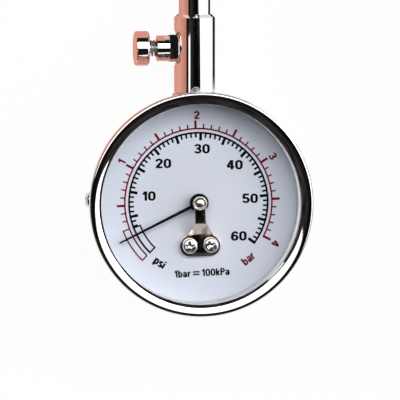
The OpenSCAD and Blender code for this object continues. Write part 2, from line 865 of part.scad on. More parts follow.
// Round wire swept along a helix as one solid
module bleed_spring() {
    sides = 8;
    per_turn = 16;
    rings = round(spring_turns * per_turn);
    z0 = chamber_u + spring_wire + run_fit;
    rise = button_u - run_fit - spring_wire - z0;
    ring_points = [
        for (k = [0 : rings], s = [0 : sides - 1])
            let (r = spring_r + spring_wire * cos(360 * s / sides), a = 360 * k / per_turn)
            [r * cos(a), r * sin(a), z0 + rise * k / rings + spring_wire * sin(360 * s / sides)]
    ];
    skin = [
        for (k = [0 : rings - 1], s = [0 : sides - 1])
            let (next = (s + 1) % sides)
            [k * sides + s, (k + 1) * sides + s, (k + 1) * sides + next, k * sides + next]
    ];
    ends = [
        [for (s = [0 : sides - 1]) s],
        [for (s = [sides - 1 : -1 : 0]) rings * sides + s]
    ];
    color("lightsteelblue") on_bleed() polyhedron(ring_points, concat(skin, ends));
}

module chuck_body() {
    grip_y = chuck_neck + chuck_cone;
    grip_len = chuck_len - grip_y;
    color("gainsboro") on_stem(chuck_y) difference() {
        rotate_extrude() difference() {
            polygon([
                [0, 0], [chuck_neck_r - stem_edge / 2, 0], [chuck_neck_r, stem_edge / 2],
                [chuck_neck_r, chuck_neck], [chuck_r, grip_y], [chuck_r, chuck_len],
                [spigot_front_r, chuck_len], [spigot_front_r, chuck_len + chuck_front],
                [0, chuck_len + chuck_front]
            ]);
            for (k = [1 : groove_n])
                translate([chuck_r - groove_d, grip_y + grip_len * k / (groove_n + 1) - groove_w / 2])
                    square([2 * groove_d, groove_w]);
        }
        translate([0, 0, -over]) cylinder(r = tube_r + seat_fit, h = tube_seat + over);
        cylinder(r = air_r, h = chuck_len);
        translate([0, 0, chuck_len + chuck_front - well_depth]) cylinder(r = well_r, h = 2 * well_depth);
    }
}

module chuck_cap() {
    base_y = chuck_y + chuck_len;
    cap_len = nose_y - base_y;
    color("gainsboro") on_stem(base_y) difference() {
        rotate_extrude() polygon([
            [0, 0], [nose_r, 0], [nose_r, cap_len - 2 * stem_edge],
            [nose_r - 2 * stem_edge, cap_len], [0, cap_len]
        ]);
        translate([0, 0, -over]) cylinder(r = nose_in_r, h = mouth_y - base_y + over);
        cylinder(r = mouth_r, h = 2 * cap_len);
    }
}

module chuck_seal() {
    color("dimgray") on_stem(seal_y) ring(seal_hole_r, nose_in_r - seat_fit, 0, seal_t);
}

// Drilled disc at the bottom of the well, with the pin that opens the tyre's valve
module depressor() {
    disc_y = seal_y - well_depth;
    color("goldenrod") on_stem(disc_y) difference() {
        union() {
            cylinder(r = well_r - seat_fit, h = disc_t);
            cylinder(r = depressor_r, h = well_depth + seal_t - tip_gap);
        }
        for (k = [1 : disc_holes]) rotate(360 * k / disc_holes)
            translate([(well_r + depressor_r) / 2, 0, -over])
                cylinder(r = disc_hole_r, h = disc_t + 2 * over);
    }
}

case();
bezel();
lens();
lens_gasket();
spacer_ring();
dial();
side_screws();
case_washer();
movement_plate();
plate_screws();
bridge_pillars();
rear_bush();
socket_block();
bourdon_tube();
tip_block();
link_bar();
link_pin();
sector_gear();
sector_stud();
sector_clip();
pinion_arbor();
hairspring();
hairspring_post();
bridge();
pivot_cap();
bridge_screws();
pointer();
stem_body();
stem_tube();
bleed_body();
bleed_button();
bleed_poppet();
bleed_seal();
bleed_spring();
chuck_body();
chuck_cap();
chuck_seal();
depressor();
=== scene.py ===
import math

import bmesh
import bpy
from mathutils import Matrix, Vector


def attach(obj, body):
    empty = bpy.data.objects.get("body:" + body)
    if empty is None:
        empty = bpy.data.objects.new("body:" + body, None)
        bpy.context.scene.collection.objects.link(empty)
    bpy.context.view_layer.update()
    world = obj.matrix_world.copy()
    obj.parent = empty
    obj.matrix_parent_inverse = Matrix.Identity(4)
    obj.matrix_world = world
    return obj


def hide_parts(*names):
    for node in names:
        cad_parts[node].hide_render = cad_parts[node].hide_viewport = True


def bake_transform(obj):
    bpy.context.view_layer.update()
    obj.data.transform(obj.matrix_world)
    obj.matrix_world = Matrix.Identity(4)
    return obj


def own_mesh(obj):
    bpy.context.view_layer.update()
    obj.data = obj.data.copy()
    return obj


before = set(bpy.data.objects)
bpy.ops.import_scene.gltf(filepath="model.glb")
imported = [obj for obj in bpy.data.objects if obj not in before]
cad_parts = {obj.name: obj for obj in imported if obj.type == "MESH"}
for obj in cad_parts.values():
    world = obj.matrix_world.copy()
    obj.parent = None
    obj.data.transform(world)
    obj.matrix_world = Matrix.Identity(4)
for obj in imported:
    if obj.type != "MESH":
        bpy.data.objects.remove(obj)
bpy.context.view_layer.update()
scene = bpy.context.scene
mm = 0.001
weldGap = 0.0005  # points nearer than this are one, in millimetres
print("frame loaded:", len(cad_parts), "nodes")

# Axes that several turned pieces share, in millimetres
stemAxis = Matrix.Translation((0, 0, 8)) @ Matrix.Rotation(math.radians(-90), 4, "X")
bleedAxis = Matrix.Translation((0, 36.8, 8)) @ Matrix.Rotation(math.radians(-90), 4, "Y")
upright = Matrix.Identity(4)


# Mesh helpers: everything is modelled in millimetres and ends up in metres

def arcPoints(cx, cy, r, start, end, steps):
    turn = [math.radians(start + (end - start) * k / steps) for k in range(steps + 1)]
    return [(cx + r * math.cos(a), cy + r * math.sin(a)) for a in turn]


def turnedShape(profile, steps, axis=upright, closed=True):
    bm = bmesh.new()
    verts = [bm.verts.new((r, 0, h)) for r, h in profile]
    pairs = list(zip(verts, verts[1:])) + ([(verts[-1], verts[0])] if closed else [])
    edges = [bm.edges.new(p) for p in pairs]
    bmesh.ops.spin(bm, geom=verts + edges, cent=(0, 0, 0), axis=(0, 0, 1), angle=math.tau,
                   steps=steps, use_merge=True)
    bmesh.ops.remove_doubles(bm, verts=bm.verts[:], dist=weldGap)
    bmesh.ops.recalc_face_normals(bm, faces=bm.faces[:])
    bmesh.ops.transform(bm, matrix=axis, verts=bm.verts[:])
    return bm


def softenEdges(bm, width, steps=2, minAngle=35, maxAngle=180, clamp=True):
    least, most = math.radians(minAngle), math.radians(maxAngle)
    sharp = [e for e in bm.edges if len(e.link_faces) == 2 and least < e.calc_face_angle() < most]
    bmesh.ops.bevel(bm, geom=sharp, offset=width, offset_type="OFFSET", segments=steps,
                    profile=0.5, affect="EDGES", material=-1, clamp_overlap=clamp)


def nodeCopy(node):
    bm = bmesh.new()
    bm.from_mesh(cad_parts[node].data)
    bmesh.ops.scale(bm, vec=(1 / mm,) * 3, verts=bm.verts[:])
    bmesh.ops.remove_doubles(bm, verts=bm.verts[:], dist=weldGap)
    bmesh.ops.dissolve_limit(bm, angle_limit=math.radians(1), verts=bm.verts[:], edges=bm.edges[:])
    return bm


def makeObject(bm, name, smooth=35, even=True):
    bmesh.ops.scale(bm, vec=(mm,) * 3, verts=bm.verts[:])
    mesh = bpy.data.meshes.new(name)
    bm.to_mesh(mesh)
    bm.free()
    mesh.shade_smooth()
    mesh.set_sharp_from_angle(angle=math.radians(smooth))
    piece = bpy.data.objects.new(name, mesh)
    scene.collection.objects.link(piece)
    if even:  # flat faces keep flat shading beside eased edges
        piece.modifiers.new("evenNormals", "WEIGHTED_NORMAL").keep_sharp = True
    return piece


def fitPiece(piece, finish, body="gauge", nodes=()):
    piece.data.materials.clear()
    piece.data.materials.append(finish)
    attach(piece, body)
    if nodes:
        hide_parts(*nodes)


def joinInto(whole, one):
    loose = bpy.data.meshes.new("loose")
    one.to_mesh(loose)
    one.free()
    whole.from_mesh(loose)
    bpy.data.meshes.remove(loose)


def cutAway(bm, cutters):
    # Booleans on loose objects, still in millimetres, which are removed again
    target = bpy.data.objects.new("target", bpy.data.meshes.new("target"))
    bm.to_mesh(target.data)
    bm.free()
    scene.collection.objects.link(target)
    loose = [target]
    for k, cutter in enumerate(cutters):
        tool = bpy.data.objects.new(f"tool{k}", bpy.data.meshes.new(f"tool{k}"))
        cutter.to_mesh(tool.data)
        cutter.free()
        scene.collection.objects.link(tool)
        cut = target.modifiers.new(f"cut{k}", "BOOLEAN")
        cut.operation, cut.solver, cut.object = "DIFFERENCE", "EXACT", tool
        loose.append(tool)
    bpy.context.view_layer.update()
    result = bmesh.new()
    result.from_object(target, bpy.context.evaluated_depsgraph_get())
    for piece in loose:
        bpy.data.objects.remove(piece)
    bmesh.ops.dissolve_limit(result, angle_limit=math.radians(0.5), verts=result.verts[:],
                             edges=result.edges[:])
    return result


# Shared shader groups
marksLook = {"blotchDetail": 4, "grainDetail": 2, "touched": (0.35, 0.7)}
ringsDetail = 2


def newGroup(name, inputs, outputs):
    group = bpy.data.node_groups.new(name, "ShaderNodeTree")
    for label, value in inputs.items():
        socket = group.interface.new_socket(label, in_out="INPUT", socket_type="NodeSocketFloat")
        socket.default_value = value
    for label in outputs:
        group.interface.new_socket(label, in_out="OUTPUT", socket_type="NodeSocketFloat")
    return group, group.nodes.new("NodeGroupInput"), group.nodes.new("NodeGroupOutput")


def makeHandlingMarks():
    # Soft blotches for colour, a rougher mask where hands touched, and fine pits for bump
    group, given, out = newGroup(
        "handlingMarks",
        {"Blotch Scale": 120, "Grain Scale": 2500, "Smooth": 0.05, "Rough": 0.15},
        ["Blotch", "Roughness", "Height"])
    nodes, links = group.nodes, group.links
    coords = nodes.new("ShaderNodeTexCoord")
    blotch = nodes.new("ShaderNodeTexNoise")
    blotch.inputs["Detail"].default_value = marksLook["blotchDetail"]
    grain = nodes.new("ShaderNodeTexNoise")
    grain.inputs["Detail"].default_value = marksLook["grainDetail"]
    for noise, scale in ((blotch, "Blotch Scale"), (grain, "Grain Scale")):
        links.new(coords.outputs["Object"], noise.inputs["Vector"])
        links.new(given.outputs[scale], noise.inputs["Scale"])
    rough = nodes.new("ShaderNodeMapRange")
    for label, value in zip(("From Min", "From Max"), marksLook["touched"]):
        rough.inputs[label].default_value = value
    links.new(blotch.outputs["Fac"], rough.inputs["Value"])
    links.new(given.outputs["Smooth"], rough.inputs["To Min"])
    links.new(given.outputs["Rough"], rough.inputs["To Max"])
    links.new(blotch.outputs["Fac"], out.inputs["Blotch"])
    links.new(rough.outputs["Result"], out.inputs["Roughness"])
    links.new(grain.outputs["Fac"], out.inputs["Height"])
    return group


def makeToolRings():
    # Fine rings left by a lathe or a drawing die, round the case's axis
    group, given, out = newGroup("toolRings", {"Spacing": 900, "Wander": 1.5}, ["Height"])
    nodes, links = group.nodes, group.links
    coords = nodes.new("ShaderNodeTexCoord")
    rings = nodes.new("ShaderNodeTexWave")
    rings.wave_type, rings.rings_direction = "RINGS", "Z"
    rings.inputs["Detail"].default_value = ringsDetail
    links.new(coords.outputs["Object"], rings.inputs["Vector"])
    links.new(given.outputs["Spacing"], rings.inputs["Scale"])
    links.new(given.outputs["Wander"], rings.inputs["Distortion"])
    links.new(rings.outputs["Fac"], out.inputs["Height"])
    return group


handlingMarks = makeHandlingMarks()
toolRings = makeToolRings()


def newMaterial(name):
    finish = bpy.data.materials.new(name)
    finish.use_nodes = True
    nodes = finish.node_tree.nodes
    return finish, nodes, finish.node_tree.links, nodes["Principled BSDF"]


def addMarks(nodes, look):
    marks = nodes.new("ShaderNodeGroup")
    marks.node_tree = handlingMarks
    smooth, rough = look["rough"]
    given = {"Blotch Scale": look["blotch"], "Grain Scale": look["grain"], "Smooth": smooth, "Rough": rough}
    for label, value in given.items():
        marks.inputs[label].default_value = value
    return marks


def addDullBand(nodes, links, rough, band):
    # More roughness within a band of height, such as a bend that has lost its polish
    coords = nodes.new("ShaderNodeTexCoord")
    parts = nodes.new("ShaderNodeSeparateXYZ")
    links.new(coords.outputs["Object"], parts.inputs["Vector"])
    within = nodes.new("ShaderNodeMath")
    within.operation = "COMPARE"
    within.inputs[1].default_value = band["middle"] * mm
    within.inputs[2].default_value = band["half"] * mm
    links.new(parts.outputs["Z"], within.inputs[0])
    dull = nodes.new("ShaderNodeMath")
    dull.operation = "MULTIPLY_ADD"
    dull.inputs[1].default_value = band["add"]
    links.new(within.outputs["Value"], dull.inputs[0])
    links.new(rough, dull.inputs[2])
    return dull.outputs["Value"]


def makeFinish(name, look):
    finish, nodes, links, shader = newMaterial(name)
    marks = addMarks(nodes, look)
    tint = nodes.new("ShaderNodeMix")
    tint.data_type = "RGBA"
    tint.inputs["A"].default_value = (*look["dark"], 1)
    tint.inputs["B"].default_value = (*look["light"], 1)
    links.new(marks.outputs["Blotch"], tint.inputs["Factor"])
    links.new(tint.outputs["Result"], shader.inputs["Base Color"])
    rough = marks.outputs["Roughness"]
    if "dullBand" in look:
        rough = addDullBand(nodes, links, rough, look["dullBand"])
    links.new(rough, shader.inputs["Roughness"])
    bump = nodes.new("ShaderNodeBump")
    bump.inputs["Strength"].default_value = look["bump"]
    bump.inputs["Distance"].default_value = look.get("depth", 0.02) * mm
    height = marks.outputs["Height"]
    if "rings" in look:
        rings = nodes.new("ShaderNodeGroup")
        rings.node_tree = toolRings
        rings.inputs["Spacing"].default_value = look["rings"]
        both = nodes.new("ShaderNodeMath")
        both.operation = "ADD"
        links.new(height, both.inputs[0])
        links.new(rings.outputs["Height"], both.inputs[1])
        height = both.outputs["Value"]
    links.new(height, bump.inputs["Height"])
    links.new(bump.outputs["Normal"], shader.inputs["Normal"])
    shader.inputs["Metallic"].default_value = look.get("metal", 1.0)
    shader.inputs["Specular IOR Level"].default_value = look.get("shine", 0.5)
    return finish


chrome = makeFinish("brightChrome", {
    "dark": (0.74, 0.74, 0.75), "light": (0.82, 0.82, 0.83), "rough": (0.02, 0.06),
    "blotch": 90, "grain": 2600, "bump": 0.03})
nickel = makeFinish("nickelSheet", {
    "dark": (0.86, 0.76, 0.66), "light": (0.95, 0.85, 0.75), "rough": (0.03, 0.06),
    "blotch": 300, "grain": 5000, "bump": 0.1,
    "dullBand": {"middle": 18.5, "half": 1.1, "add": 0.2}})
polished = makeFinish("polishedSteel", {
    "dark": (0.70, 0.70, 0.70), "light": (0.80, 0.80, 0.80), "rough": (0.06, 0.14),
    "blotch": 500, "grain": 5000, "bump": 0.08})
plated = makeFinish("platedScrew", {
    "dark": (0.72, 0.72, 0.71), "light": (0.84, 0.84, 0.83), "rough": (0.05, 0.09),
    "blotch": 600, "grain": 4000, "bump": 0.12})
steel = makeFinish("turnedSteel", {
    "dark": (0.50, 0.50, 0.52), "light": (0.62, 0.62, 0.64), "rough": (0.22, 0.36),
    "blotch": 400, "grain": 3000, "bump": 0.15, "rings": 1800})
spring = makeFinish("bluedSpringSteel", {
    "dark": (0.20, 0.23, 0.33), "light": (0.36, 0.38, 0.44), "rough": (0.2, 0.34),
    "blotch": 600, "grain": 4000, "bump": 0.1})
brass = makeFinish("machinedBrass", {
    "dark": (0.60, 0.43, 0.17), "light": (0.76, 0.60, 0.28), "rough": (0.18, 0.34),
    "blotch": 250, "grain": 3000, "bump": 0.15, "rings": 1500})
bronze = makeFinish("drawnBronze", {
    "dark": (0.46, 0.28, 0.14), "light": (0.62, 0.43, 0.24), "rough": (0.22, 0.4),
    "blotch": 200, "grain": 2600, "bump": 0.12})
rubber = makeFinish("blackRubber", {
    "dark": (0.018, 0.018, 0.02), "light": (0.035, 0.035, 0.038), "rough": (0.55, 0.75),
    "blotch": 400, "grain": 2500, "bump": 0.35, "metal": 0.0, "depth": 0.05})
dialPaint = makeFinish("dialPaint", {
    "dark": (0.75, 0.795, 0.905), "light": (0.78, 0.825, 0.93), "rough": (0.42, 0.55),
    "blotch": 160, "grain": 4500, "bump": 0.06, "metal": 0.0})
ringPaint = makeFinish("spacerSatin", {
    "dark": (0.74, 0.74, 0.76), "light": (0.81, 0.81, 0.82), "rough": (0.3, 0.42),
    "blotch": 200, "grain": 3500, "bump": 0.1, "metal": 0.0})
needlePaint = makeFinish("needlePaint", {
    "dark": (0.002, 0.002, 0.0025), "light": (0.005, 0.005, 0.006), "rough": (0.25, 0.36),
    "blotch": 700, "grain": 5000, "bump": 0.1, "metal": 0.0, "shine": 0.1})
blackInk = makeFinish("blackInk", {
    "dark": (0.002, 0.002, 0.003), "light": (0.005, 0.005, 0.007), "rough": (0.45, 0.6),
    "blotch": 900, "grain": 6000, "bump": 0.1, "metal": 0.0, "shine": 0.05})
redInk = makeFinish("redInk", {
    "dark": (0.17, 0.002, 0.012), "light": (0.23, 0.004, 0.020), "rough": (0.45, 0.6),
    "blotch": 900, "grain": 6000, "bump": 0.1, "metal": 0.0, "shine": 0.05})
lensLook = {"colour": (0.985, 0.99, 0.99), "bends": 1.49, "shine": 0.1, "rough": (0.0, 0.012),
            "blotch": 60, "grain": 2500}


def makeLensFinish(look):
    # Clear acrylic that lets light through to the dial without a dark shadow
    finish, nodes, links, shader = newMaterial("clearLens")
    shader.inputs["Base Color"].default_value = (*look["colour"], 1)
    shader.inputs["Transmission Weight"].default_value = 1.0
    shader.inputs["IOR"].default_value = look["bends"]
    shader.inputs["Specular IOR Level"].default_value = look["shine"]
    marks = addMarks(nodes, look)
    links.new(marks.outputs["Roughness"], shader.inputs["Roughness"])
    path = nodes.new("ShaderNodeLightPath")
    light = nodes.new("ShaderNodeMath")
    light.operation = "MAXIMUM"
    links.new(path.outputs["Is Shadow Ray"], light.inputs[0])
    links.new(path.outputs["Is Diffuse Ray"], light.inputs[1])
    clear = nodes.new("ShaderNodeBsdfTransparent")
    mix = nodes.new("ShaderNodeMixShader")
    links.new(light.outputs["Value"], mix.inputs["Fac"])
    links.new(shader.outputs["BSDF"], mix.inputs[1])
    links.new(clear.outputs["BSDF"], mix.inputs[2])
    links.new(mix.outputs["Shader"], nodes["Material Output"].inputs["Surface"])
    return finish


lensFinish = makeLensFinish(lensLook)
print("finishes ready:", len(bpy.data.materials))


# Case: pressed cup with a ledge for the dial and a flange under the bezel
caseCup = {"r": 24.4, "wall": 0.8, "round": 2.5, "ledge": 15.8, "step": 0.7, "rim": 21.5,
           "flange": 0.8, "edge": 0.25, "steps": 160}


def buildCase(s):
    inner = s["r"] - s["wall"]
    upperIn, upperOut = inner + s["step"], s["r"] + s["step"]
    low = s["ledge"] - s["wall"]
    profile = [(0, 0)] + arcPoints(s["r"] - s["round"], s["round"], s["round"], -90, 0, 10)
    profile += [(s["r"], low), (upperOut, low), (upperOut, s["rim"] - s["wall"]),
                (upperOut + s["flange"], s["rim"] - s["wall"]), (upperOut + s["flange"], s["rim"]),
                (upperIn, s["rim"]), (upperIn, s["ledge"]), (inner, s["ledge"])]
    inRound = s["round"] - s["wall"]
    profile += arcPoints(inner - inRound, s["wall"] + inRound, inRound, 0, -90, 8) + [(0, s["wall"])]
    bm = turnedShape(profile, s["steps"])
    softenEdges(bm, s["edge"], steps=3, minAngle=40)
    fitPiece(makeObject(bm, "caseShell"), chrome, nodes=["case"])


buildCase(caseCup)

# Bezel: front slope from the lip on the lens up to the crown, rolled edge, skirt and crimp
bezelRing = {"crown": 26.35, "top": 24.6, "slope": 3.5, "bead": 0.65, "sheet": 0.7, "lip": 24.06,
             "lens": 23.1, "skirtIn": 26.0, "low": 20.0, "crimp": 0.7, "edge": 0.18, "steps": 256}


def buildBezel(s):
    slopeZ = s["top"] - s["slope"]
    beadZ = s["top"] - s["bead"]
    under = s["slope"] - s["sheet"]
    skirt = s["skirtIn"] + s["sheet"]
    crimpR = s["skirtIn"] - s["crimp"]
    crimpZ = s["low"] + s["sheet"]
    lipTurn = 90 + math.degrees(math.asin((s["crown"] - s["lip"]) / s["slope"]))
    landTurn = 180 - math.degrees(math.asin((s["lens"] - slopeZ) / under))
    innerTurn = 90 + math.degrees(math.asin((s["crown"] - s["skirtIn"]) / under))
    foldTurn = -math.degrees(math.acos((skirt - s["crown"]) / s["bead"]))
    profile = [(s["lip"], s["lens"])] + arcPoints(s["crown"], slopeZ, s["slope"], lipTurn, 90, 24)
    profile += arcPoints(s["crown"], beadZ, s["bead"], 90, foldTurn, 18)[1:]
    profile += [(skirt, s["low"]), (crimpR, s["low"]), (crimpR, crimpZ), (s["skirtIn"], crimpZ)]
    profile += arcPoints(s["crown"], slopeZ, under, innerTurn, landTurn, 10)
    bm = turnedShape(profile, s["steps"])
    softenEdges(bm, s["edge"], steps=4, minAngle=45)
    fitPiece(makeObject(bm, "bezelRing", 40), chrome, nodes=["bezel"])


buildBezel(bezelRing)

# Lens, spacer and dial: inner and outer radius, underside and top. The spacer is thinner than its solid.
stack = {"lens": (0, 25.8, 21.9, 23.1), "spacer": (23.97, 24.25, 16.4, 21.9),
         "dial": (1.6, 24.1, 15.8, 16.4), "lensEdge": 0.08, "edge": 0.06, "steps": 192}


def buildDisc(name, size, edge, finish, node):
    inner, outer, low, high = size
    bm = turnedShape([(inner, low), (outer, low), (outer, high), (inner, high)], stack["steps"])
    softenEdges(bm, edge, minAngle=60)
    fitPiece(makeObject(bm, name), finish, nodes=[node])


buildDisc("lensDisc", stack["lens"], stack["lensEdge"], lensFinish, "lens")
buildDisc("spacerRing", stack["spacer"], stack["edge"], ringPaint, "spacer_ring")
buildDisc("dialDisc", stack["dial"], stack["edge"], dialPaint, "dial")
print("case, bezel and dial built")


# Printed scales: the dial reads clockwise, and both scales share one rate
scales = {
    "zeroAngle": 212.2, "perPsi": 4.136, "psiPerBar": 14.504, "fullPsi": 60, "fullBar": 4,
    "boxEnd": 225.6, "ink": 0.02, "top": 16.42, "layer": 0.001, "layers": 7, "facet": 6,
    "psi": {"arc": (16.58, 17.03), "minor": (15.66, 0.45), "major": (14.94, 0.67),
            "box": (14.94, 17.02), "boxLine": 0.37, "boxStart": 201.0, "first": 3},
    "bar": {"arc": (17.64, 18.02), "minor": (18.92, 0.35), "major": (19.76, 0.57),
            "box": (17.82, 19.59), "boxLine": 0.34, "boxStart": 200.6, "first": 0.3},
}


def inkLevel(bm):
    # Strokes that cross don't share a plane
    return scales["layer"] * (len(bm.faces) % scales["layers"])


def addLine(bm, x0, y0, x1, y1, weight):
    run = Vector((x1 - x0, y1 - y0, 0))
    place = (Matrix.Translation(((x0 + x1) / 2, (y0 + y1) / 2, 0))
             @ Matrix.Rotation(math.atan2(run.y, run.x), 4, "Z")
             @ Matrix.Diagonal((run.length, weight, 1, 1)))
    lift = Matrix.Translation((0, 0, inkLevel(bm)))
    bmesh.ops.create_grid(bm, x_segments=1, y_segments=1, size=0.5, matrix=lift @ place)


def addArc(bm, cx, cy, rx, ry, start, end, weight, flat):
    # An edge is spun, then its inner and outer ends are set to the two ellipses of the stroke
    known = set(bm.verts)
    level = inkLevel(bm) + scales["layer"] * (scales["layers"] + 1)
    ends = [bm.verts.new((r, 0, 0)) for r in (1, 2)]
    edge = bm.edges.new(ends)
    bmesh.ops.rotate(bm, verts=ends, cent=(0, 0, 0), matrix=Matrix.Rotation(math.radians(start), 3, "Z"))
    sweep = abs(end - start)
    bmesh.ops.spin(bm, geom=ends + [edge], cent=(0, 0, 0), axis=(0, 0, 1), angle=math.radians(end - start),
                   steps=max(6, int(sweep / scales["facet"])), use_merge=sweep == 360)
    for v in bm.verts:
        if v not in known:
            side = 1 if v.co.length > 1.5 else -1  # outer or inner end
            turn = v.co.normalized()
            v.co = (cx + turn.x * (rx + side * weight / 2), cy + turn.y * (ry + side * flat / 2), level)


def addRadial(bm, angle, r0, r1, weight):
    c, s = math.cos(math.radians(angle)), math.sin(math.radians(angle))
    addLine(bm, r0 * c, r0 * s, r1 * c, r1 * s, weight)


def addRing(bm, r0, r1, start, end):
    mid, weight = (r0 + r1) / 2, r1 - r0
    addArc(bm, 0, 0, mid, mid, start, end, weight, weight)


def printInk(bm, name, finish):
    # A film of ink with its underside on the dial
    bmesh.ops.remove_doubles(bm, verts=bm.verts[:], dist=0.0001)
    bmesh.ops.recalc_face_normals(bm, faces=bm.faces[:])
    for f in bm.faces:
        if f.normal.z < 0:
            f.normal_flip()
    film = bmesh.ops.extrude_face_region(bm, geom=bm.faces[:], use_keep_orig=True)
    top = [g for g in film["geom"] if isinstance(g, bmesh.types.BMVert)]
    bmesh.ops.translate(bm, vec=(0, 0, scales["ink"]), verts=top)
    bmesh.ops.translate(bm, vec=(0, 0, scales["top"] - scales["ink"]), verts=bm.verts[:])
    bmesh.ops.recalc_face_normals(bm, faces=bm.faces[:])
    fitPiece(makeObject(bm, name), finish)


def angleOf(psi):
    return scales["zeroAngle"] - scales["perPsi"] * psi


def buildScale(name, s, full, step, majorEvery, perUnit, finish):
    bm = bmesh.new()
    inward = s["minor"][0] < s["arc"][0]
    edge = s["arc"][1] if inward else s["arc"][0]
    count = round(full / step)
    for k in range(round(s["first"] / step), count + 1):
        reach, weight = s["major"] if k % majorEvery == 0 else s["minor"]
        addRadial(bm, angleOf(k * step * perUnit), edge, reach, weight)
    endTurn = math.degrees(s["major"][1] / 2 / edge)
    addRing(bm, *s["arc"], angleOf(full * perUnit) - endTurn, scales["boxEnd"])
    inner, outer = s["box"]
    line = s["boxLine"]
    free = inner if inward else outer - line
    addRing(bm, free, free + line, s["boxStart"], scales["boxEnd"])
    for a in (s["boxStart"], scales["boxEnd"]):
        addRadial(bm, a, inner, outer, line)
    printInk(bm, name, finish)


buildScale("psiScale", scales["psi"], scales["fullPsi"], 1, 5, 1, blackInk)
buildScale("barScale", scales["bar"], scales["fullBar"], 0.1, 5, scales["psiPerBar"], redInk)

# Plain grotesque signs as strokes on a body one unit high: lines x0 y0 x1 y1 and arcs cx cy rx ry start end
signs = {
    "0": (0.66, [("a", 0.33, 0.66, 0.23, 0.25, 0, 180), ("a", 0.33, 0.34, 0.23, 0.25, 180, 360),
                 ("l", 0.10, 0.33, 0.10, 0.67), ("l", 0.56, 0.33, 0.56, 0.67)]),
    "1": (0.46, [("l", 0.34, 0, 0.34, 1.0), ("l", 0.04, 0.75, 0.30, 0.75), ("l", 0.20, 0.76, 0.31, 0.97)]),
    "2": (0.66, [("a", 0.32, 0.70, 0.23, 0.215, 178, -38), ("l", 0.52, 0.60, 0.12, 0.12),
                 ("l", 0.03, 0.085, 0.64, 0.085)]),
    "3": (0.66, [("a", 0.32, 0.735, 0.21, 0.18, 168, -90), ("a", 0.32, 0.29, 0.235, 0.205, 90, -168),
                 ("l", 0.21, 0.525, 0.36, 0.525)]),
    "4": (0.70, [("l", 0.48, 0, 0.48, 1.0), ("l", 0.02, 0.29, 0.68, 0.29), ("l", 0.43, 0.95, 0.08, 0.31)]),
    "5": (0.66, [("l", 0.11, 0.915, 0.60, 0.915), ("l", 0.16, 0.95, 0.11, 0.45),
                 ("a", 0.32, 0.32, 0.235, 0.235, 140, -163)]),
    "6": (0.66, [("a", 0.33, 0.32, 0.23, 0.235, 0, 360), ("a", 0.36, 0.52, 0.26, 0.395, 32, 180),
                 ("l", 0.10, 0.30, 0.10, 0.53)]),
    "p": (0.62, [("l", 0.10, -0.24, 0.10, 0.72), ("a", 0.32, 0.36, 0.20, 0.28, 0, 360)]),
    "s": (0.54, [("a", 0.27, 0.53, 0.18, 0.115, 25, 270), ("a", 0.27, 0.20, 0.19, 0.125, 90, -160),
                 ("l", 0.24, 0.37, 0.30, 0.37)]),
    "i": (0.20, [("l", 0.10, 0, 0.10, 0.71), ("l", 0.10, 0.83, 0.10, 1.0)]),
    "b": (0.62, [("l", 0.10, 0, 0.10, 1.0), ("a", 0.32, 0.36, 0.20, 0.28, 0, 360)]),
    "a": (0.60, [("a", 0.26, 0.21, 0.17, 0.14, 0, 360), ("l", 0.48, 0, 0.48, 0.48),
                 ("a", 0.28, 0.47, 0.20, 0.175, 0, 165)]),
    "r": (0.42, [("l", 0.10, 0, 0.10, 0.71), ("a", 0.34, 0.36, 0.24, 0.28, 75, 175)]),
    "k": (0.58, [("l", 0.10, 0, 0.10, 1.0), ("l", 0.12, 0.28, 0.50, 0.70), ("l", 0.26, 0.40, 0.50, 0.02)]),
    "P": (0.64, [("l", 0.10, 0, 0.10, 1.0), ("a", 0.34, 0.70, 0.20, 0.215, -90, 90),
                 ("l", 0.10, 0.915, 0.35, 0.915), ("l", 0.10, 0.485, 0.35, 0.485)]),
    "=": (1.05, [("l", 0.03, 0.31, 1.02, 0.31), ("l", 0.03, 0.66, 1.02, 0.66)]),
    " ": (0.10, []),
}
levelStroke = 0.85  # weight of a level stroke beside an upright one


def addWord(bm, text, s):
    # Set the signs in a row about the middle, then stretch, turn and place the row
    word = bmesh.new()
    light = s["weight"] * levelStroke
    along = 0
    for letter in text:
        width, strokes = signs[letter]
        known = set(word.verts)
        for kind, *n in strokes:
            if kind == "l":
                steep = abs(n[2] - n[0]) < abs(n[3] - n[1])
                addLine(word, *n, s["weight"] if steep else light)
            else:
                addArc(word, *n, s["weight"], light)
        fresh = [v for v in word.verts if v not in known]
        bmesh.ops.translate(word, vec=(along, 0, 0), verts=fresh)
        along += width + s["gap"]
    middle = Matrix.Translation((-(along - s["gap"]) / 2, -0.5, 0))
    size = Matrix.Diagonal((s["high"] * s["wide"], s["high"], 1, 1))
    place = Matrix.Translation((*s["at"], 0)) @ Matrix.Rotation(math.radians(s["turn"]), 4, "Z")
    bmesh.ops.transform(word, matrix=place @ size @ middle, verts=word.verts[:])
    joinInto(bm, word)


